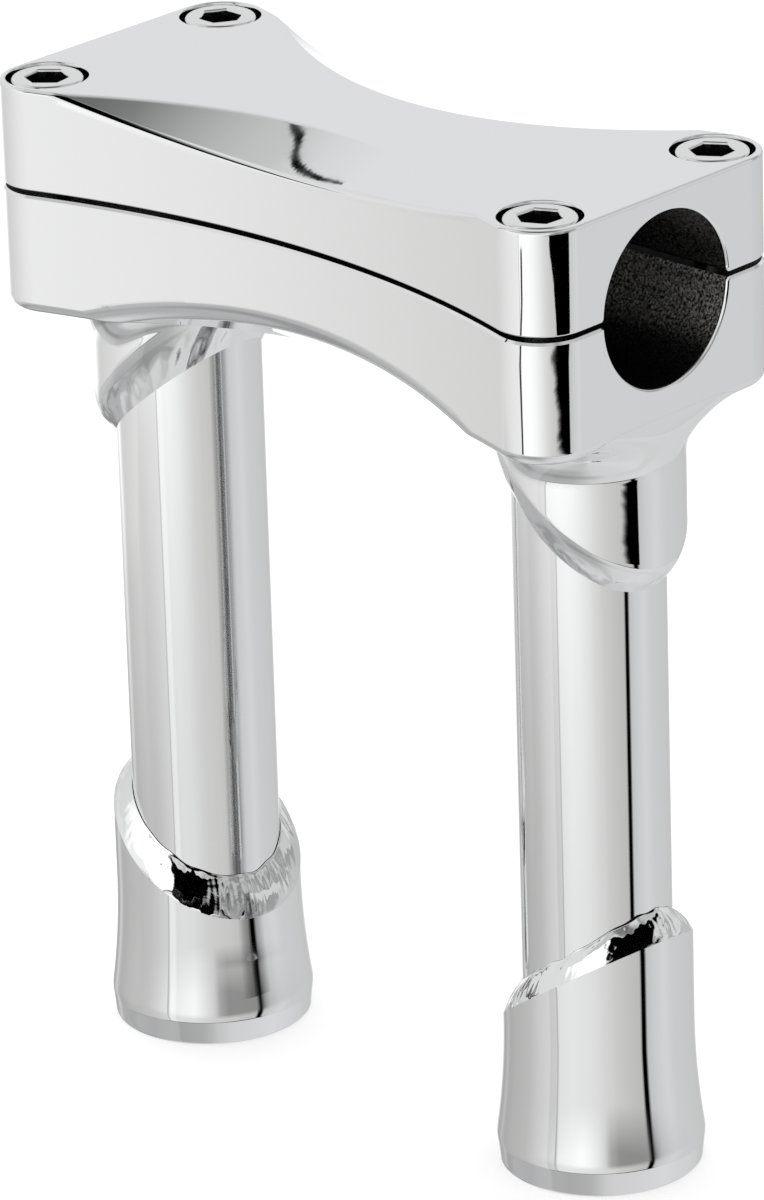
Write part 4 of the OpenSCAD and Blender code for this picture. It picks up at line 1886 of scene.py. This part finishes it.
    def weld_sheets(self) -> None:
        """Hangs a patterned sheet close over each foot's weld, for it to mirror.

        Formula: a sheet lies 10 mm over the foot's slanted rim and shines
        downwards with the brightness of the angle round its leg, which wanders
        a little with the distance. Past 60 mm only its black part goes on, for
        the lower edge of the weld.
        """
        for name, x, uphill, stops, seed in (
                ("left_sheet", -44.45, 256.0,
                 ((-120, 0.80), (-40, 0.84), (-24, 1.05), (17, 1.05), (19, 0.0),
                  (58, 0.0), (60, 0.62), (66, 0.74), (72, 0.50), (79, 0.74),
                  (88, 0.56), (96, 0.78), (104, 0.52), (112, 0.72), (124, 0.58),
                  (136, 0.76), (160, 0.78)), 4),
                ("right_sheet", 44.45, 85.0,
                 ((-120, 0.80), (-64, 0.80), (-61, 0.05), (-56, 0.05), (-53, 0.80),
                  (-47, 0.12), (-43, 0.84), (0, 0.86), (8, 1.05), (39, 1.05),
                  (41, 0.0), (106, 0.0), (108, 0.72), (118, 0.84), (128, 0.60),
                  (136, 0.84), (160, 0.80)), 9)):
            angle = np.linspace(-120.0, 160.0, 281)[None]
            reach = np.linspace(16.5, 130.0, 180)[:, None]
            moved = angle + 2.5 * self.frayed(reach * 0.9, seed)
            tone = np.interp(moved, [a for a, _ in stops], [t for _, t in stops])
            turn = np.radians(angle)
            height = 42.5 + 10.52 * np.cos(turn - math.radians(uphill)) + 0.0 * reach
            points = np.stack([x + reach * np.sin(turn), -reach * np.cos(turn),
                               height], axis=-1)
            self.glowing(self.gauze(name, points, tone ** 2.2 / 0.9),
                         np.where((reach > 60.0) & (tone > 0.3), 1.0, 0.0))

    @staticmethod
    def glowing(card: bpy.types.Object, opened: Array) -> None:
        """Makes a sheet shine on its front by its own values, clear from the back.

        Args:
            card: The sheet.
            opened: 1 at each place where the sheet is clear from its front too.
        """
        field = card.data.attributes.new("opened", "FLOAT", "POINT")
        field.data.foreach_set("value", opened.ravel().astype(np.float32))
        board = NodeBoard.for_material(f"{card.name}_glow")
        tone = board.add("ShaderNodeAttribute")
        tone.attribute_name = "clear"
        shine = board.add("ShaderNodeEmission")
        board.link(tone.outputs["Fac"], shine.inputs["Strength"])
        both = board.add("ShaderNodeMixShader")
        back = board.add("ShaderNodeNewGeometry").outputs["Backfacing"]
        gap = board.add("ShaderNodeAttribute")
        gap.attribute_name = "opened"
        board.link(board.math("MAXIMUM", back, gap.outputs["Fac"]), both.inputs["Fac"])
        board.link(shine.outputs["Emission"], both.inputs[1])
        board.link(board.add("ShaderNodeBsdfTransparent").outputs["BSDF"], both.inputs[2])
        board.link(both.outputs["Shader"], board.output.inputs["Surface"])
        card.data.materials.clear()
        card.data.materials.append(board.material)

    def tube_gauze(self) -> None:
        """Hangs a narrow grey gauze by the left tube, for its dark double line.

        Formula: each angle's place lies 15.9 mm from the tube's axis along the
        mean of that angle and the camera's, and then 10 mm along the angle.
        """
        angle = np.linspace(116.0, 79.0, 112)[None]
        height = np.linspace(6.0, 118.0, 57)[:, None]
        start = np.radians((angle + self.azimuth) / 2.0)
        turn = np.radians(angle)
        clear = np.interp(angle, [80, 84, 88, 93, 94, 97, 98, 101, 104, 110, 115],
                          [1.0, 0.76, 0.56, 0.42, 0.25, 0.25, 0.42, 0.42, 0.55, 0.78,
                           1.0]) + 0.0 * height
        points = np.stack([-44.45 + 15.9 * np.sin(start) + 10.0 * np.sin(turn),
                           -15.9 * np.cos(start) - 10.0 * np.cos(turn)], axis=-1)
        points = np.concatenate([points + 0.0 * height[..., None],
                                 (height + 0.0 * angle)[..., None]], axis=-1)
        self.gauze("tube_gauze", points, clear, True)

    def scoop_cord(self) -> None:
        """Hangs the black cord that the scoop mirrors as a thin curved line."""
        way = np.array([[-13.0, 355.0], [-6.0, 361.0], [-2.0, 364.5], [-1.0, 360.5],
                        [-1.15, 355.0], [-1.15, 352.0], [-1.0, 349.0], [-0.4, 347.0],
                        [0.1, 345.5], [0.6, 344.0], [1.2, 342.0], [1.45, 339.5],
                        [1.65, 337.5], [1.5, 334.0], [0.8, 328.0], [-0.4, 322.0],
                        [-2.1, 315.0], [-6.0, 303.0]])
        half = np.interp(np.arange(len(way)), [0, 3, 6, 9, 13, 17],
                         [0.35, 0.75, 1.05, 0.9, 0.75, 0.25])
        goal = np.linspace(0.0, len(way) - 1.0, 120)
        side, height, half = (np.interp(goal, np.arange(len(way)), v)
                              for v in (way[:, 0], way[:, 1], half))
        half = half * (1.0 + 0.25 * self.frayed(height, 8))
        across = np.array([-1.7, -1.0, 1.0, 1.7])[None]
        turn = math.radians(-103.0)
        ahead, right = ((math.sin(turn), -math.cos(turn)),
                        (math.cos(turn), math.sin(turn)))
        lateral = side[:, None] + across * half[:, None]
        points = np.stack([-5.0 + 150.0 * ahead[0] + lateral * right[0],
                           -13.0 + 150.0 * ahead[1] + lateral * right[1],
                           height[:, None] + 0.0 * lateral], axis=-1)
        self.gauze("scoop_cord", points,
                   np.array([1.0, 0.0, 0.0, 1.0]) + 0.0 * lateral)

    def scoop_cloth(self) -> None:
        """Hangs the black cloth that the scoop's narrow end mirrors."""
        height = np.linspace(186.0, 306.0, 61)[:, None]
        x = np.linspace(-96.0, -36.0, 91)[None]
        left = np.interp(height, [186, 216, 240, 264, 288, 312, 348, 420],
                         [-68, -52, -54, -57, -61, -67, -76, -90])
        soft = np.interp(height, [186, 240, 420], [3, 13, 20])
        edge = left + 0.2 * soft * self.frayed(height * 0.5, 12)
        clear = np.clip(np.maximum((edge - x) / soft, (x + 45.0) / 4.0), 0, 1)
        clear = np.maximum(clear, np.clip((height - 286.0) / 20.0, 0, 1))
        points = np.stack([x + 0.0 * height, -80.0 + 0.0 * clear, height + 0.0 * x],
                          axis=-1)
        self.gauze("scoop_cloth", points, clear ** 1.3)

    def lamps(self) -> None:
        """Makes one broad soft lamp above, for the floor's soft shadow."""
        light = bpy.data.lights.new("soft_lamp", "AREA")
        light.shape = "DISK"
        light.size = 1.2
        light.energy = 8.0
        lamp = bpy.data.objects.new("soft_lamp", light)
        lamp.matrix_world = Matrix.Translation((-0.3, 0.2, 1.4))
        lamp.visible_glossy = False
        bpy.context.scene.collection.objects.link(lamp)

    def build(self) -> None:
        """Sets the stage and the colour view."""
        self.camera()
        self.floor()
        self.world()
        self.corner_cloth()
        self.thin_cord()
        self.leg_gauze()
        self.weld_sheets()
        self.tube_gauze()
        self.scoop_cord()
        self.scoop_cloth()
        self.lamps()
        bpy.context.scene.view_settings.view_transform = "Standard"


def main() -> None:
    """Builds the riser in order and reports each piece."""
    logging.basicConfig(level=logging.INFO, format="%(name)s: %(message)s")
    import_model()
    Studio().build()
    mirror = Chrome("polished_chrome", "polished_chrome", (0.9, 0.905, 0.91),
                    (0.02, 0.05), 0.004, 14.0, 0.0002).make()
    screw = Chrome("screw_chrome", "screw_chrome", (0.86, 0.86, 0.86),
                   (0.05, 0.1), 0.004, 5.0, 0.0004).make()
    ripple = Chrome("rippled_weld_chrome", "rippled_weld", (0.9, 0.905, 0.91),
                    (0.02, 0.06), 0.02, 2.2, 0.002).make()
    smooth = Chrome("smoothed_weld_chrome", "smoothed_weld", (0.9, 0.905, 0.91),
                    (0.02, 0.06), 0.012, 4.0, 0.001).make()
    # The bands paint shade: near black at the bore's bottom and dark low in the upper half,
    # with a painted highlight band on the lower half's bevel along the slot.
    casting = CastBore("cast_bore", (0.012, 0.012, 0.011), (0.95, 0.93, 0.89), 0.42,
                       0.26, ((0.0, 0.0), (138.8, 0.02), (141.5, 0.08), (144.5, 0.7),
                             (149.0, 0.9), (151.3, 0.6), (151.7, 1.6), (152.3, 1.6),
                             (152.9, 0.12), (157.0, 0.25), (162.0, 0.7),
                             (200.0, 0.7))).make()
    # Near-black painted shade for the slot's faces, the upper half's bevels and the screw
    # sockets.
    slot_shade = CastBore("painted_slot_shade", (0.004, 0.004, 0.004),
                          (0.03, 0.03, 0.03), 0.3, 0.03).make()
    shape = ClampShape()
    clamp = ClampMaker(shape, mirror, casting, slot_shade)
    pieces = clamp.build()
    pieces.append(ScrewMaker(shape, screw, slot_shade).build())
    for side, turn, rise, seed in ((Side.LEFT, 14.0, 0.2, 3),
                                   (Side.RIGHT, -5.0, 1.8, 11)):
        leg = LegMaker(side, turn, Neck(clamp.lower_half(), side), mirror, ripple, smooth)
        pieces.append(leg.tube())
        pieces.append(leg.foot())
        pieces.append(leg.foot_weld(WeldSkin(0.38, 0.018, 1.05, 0.10, 0.14, rise, seed)))
        pieces.append(leg.neck_weld(WeldSkin(0.05, 0.02, 2.2, 0.08, 0.0, 0.0, seed + 4)))
    for piece in pieces:
        LOG.info("%s: %d faces", piece.name, len(piece.data.polygons))


if __name__ == "__main__":
    main()
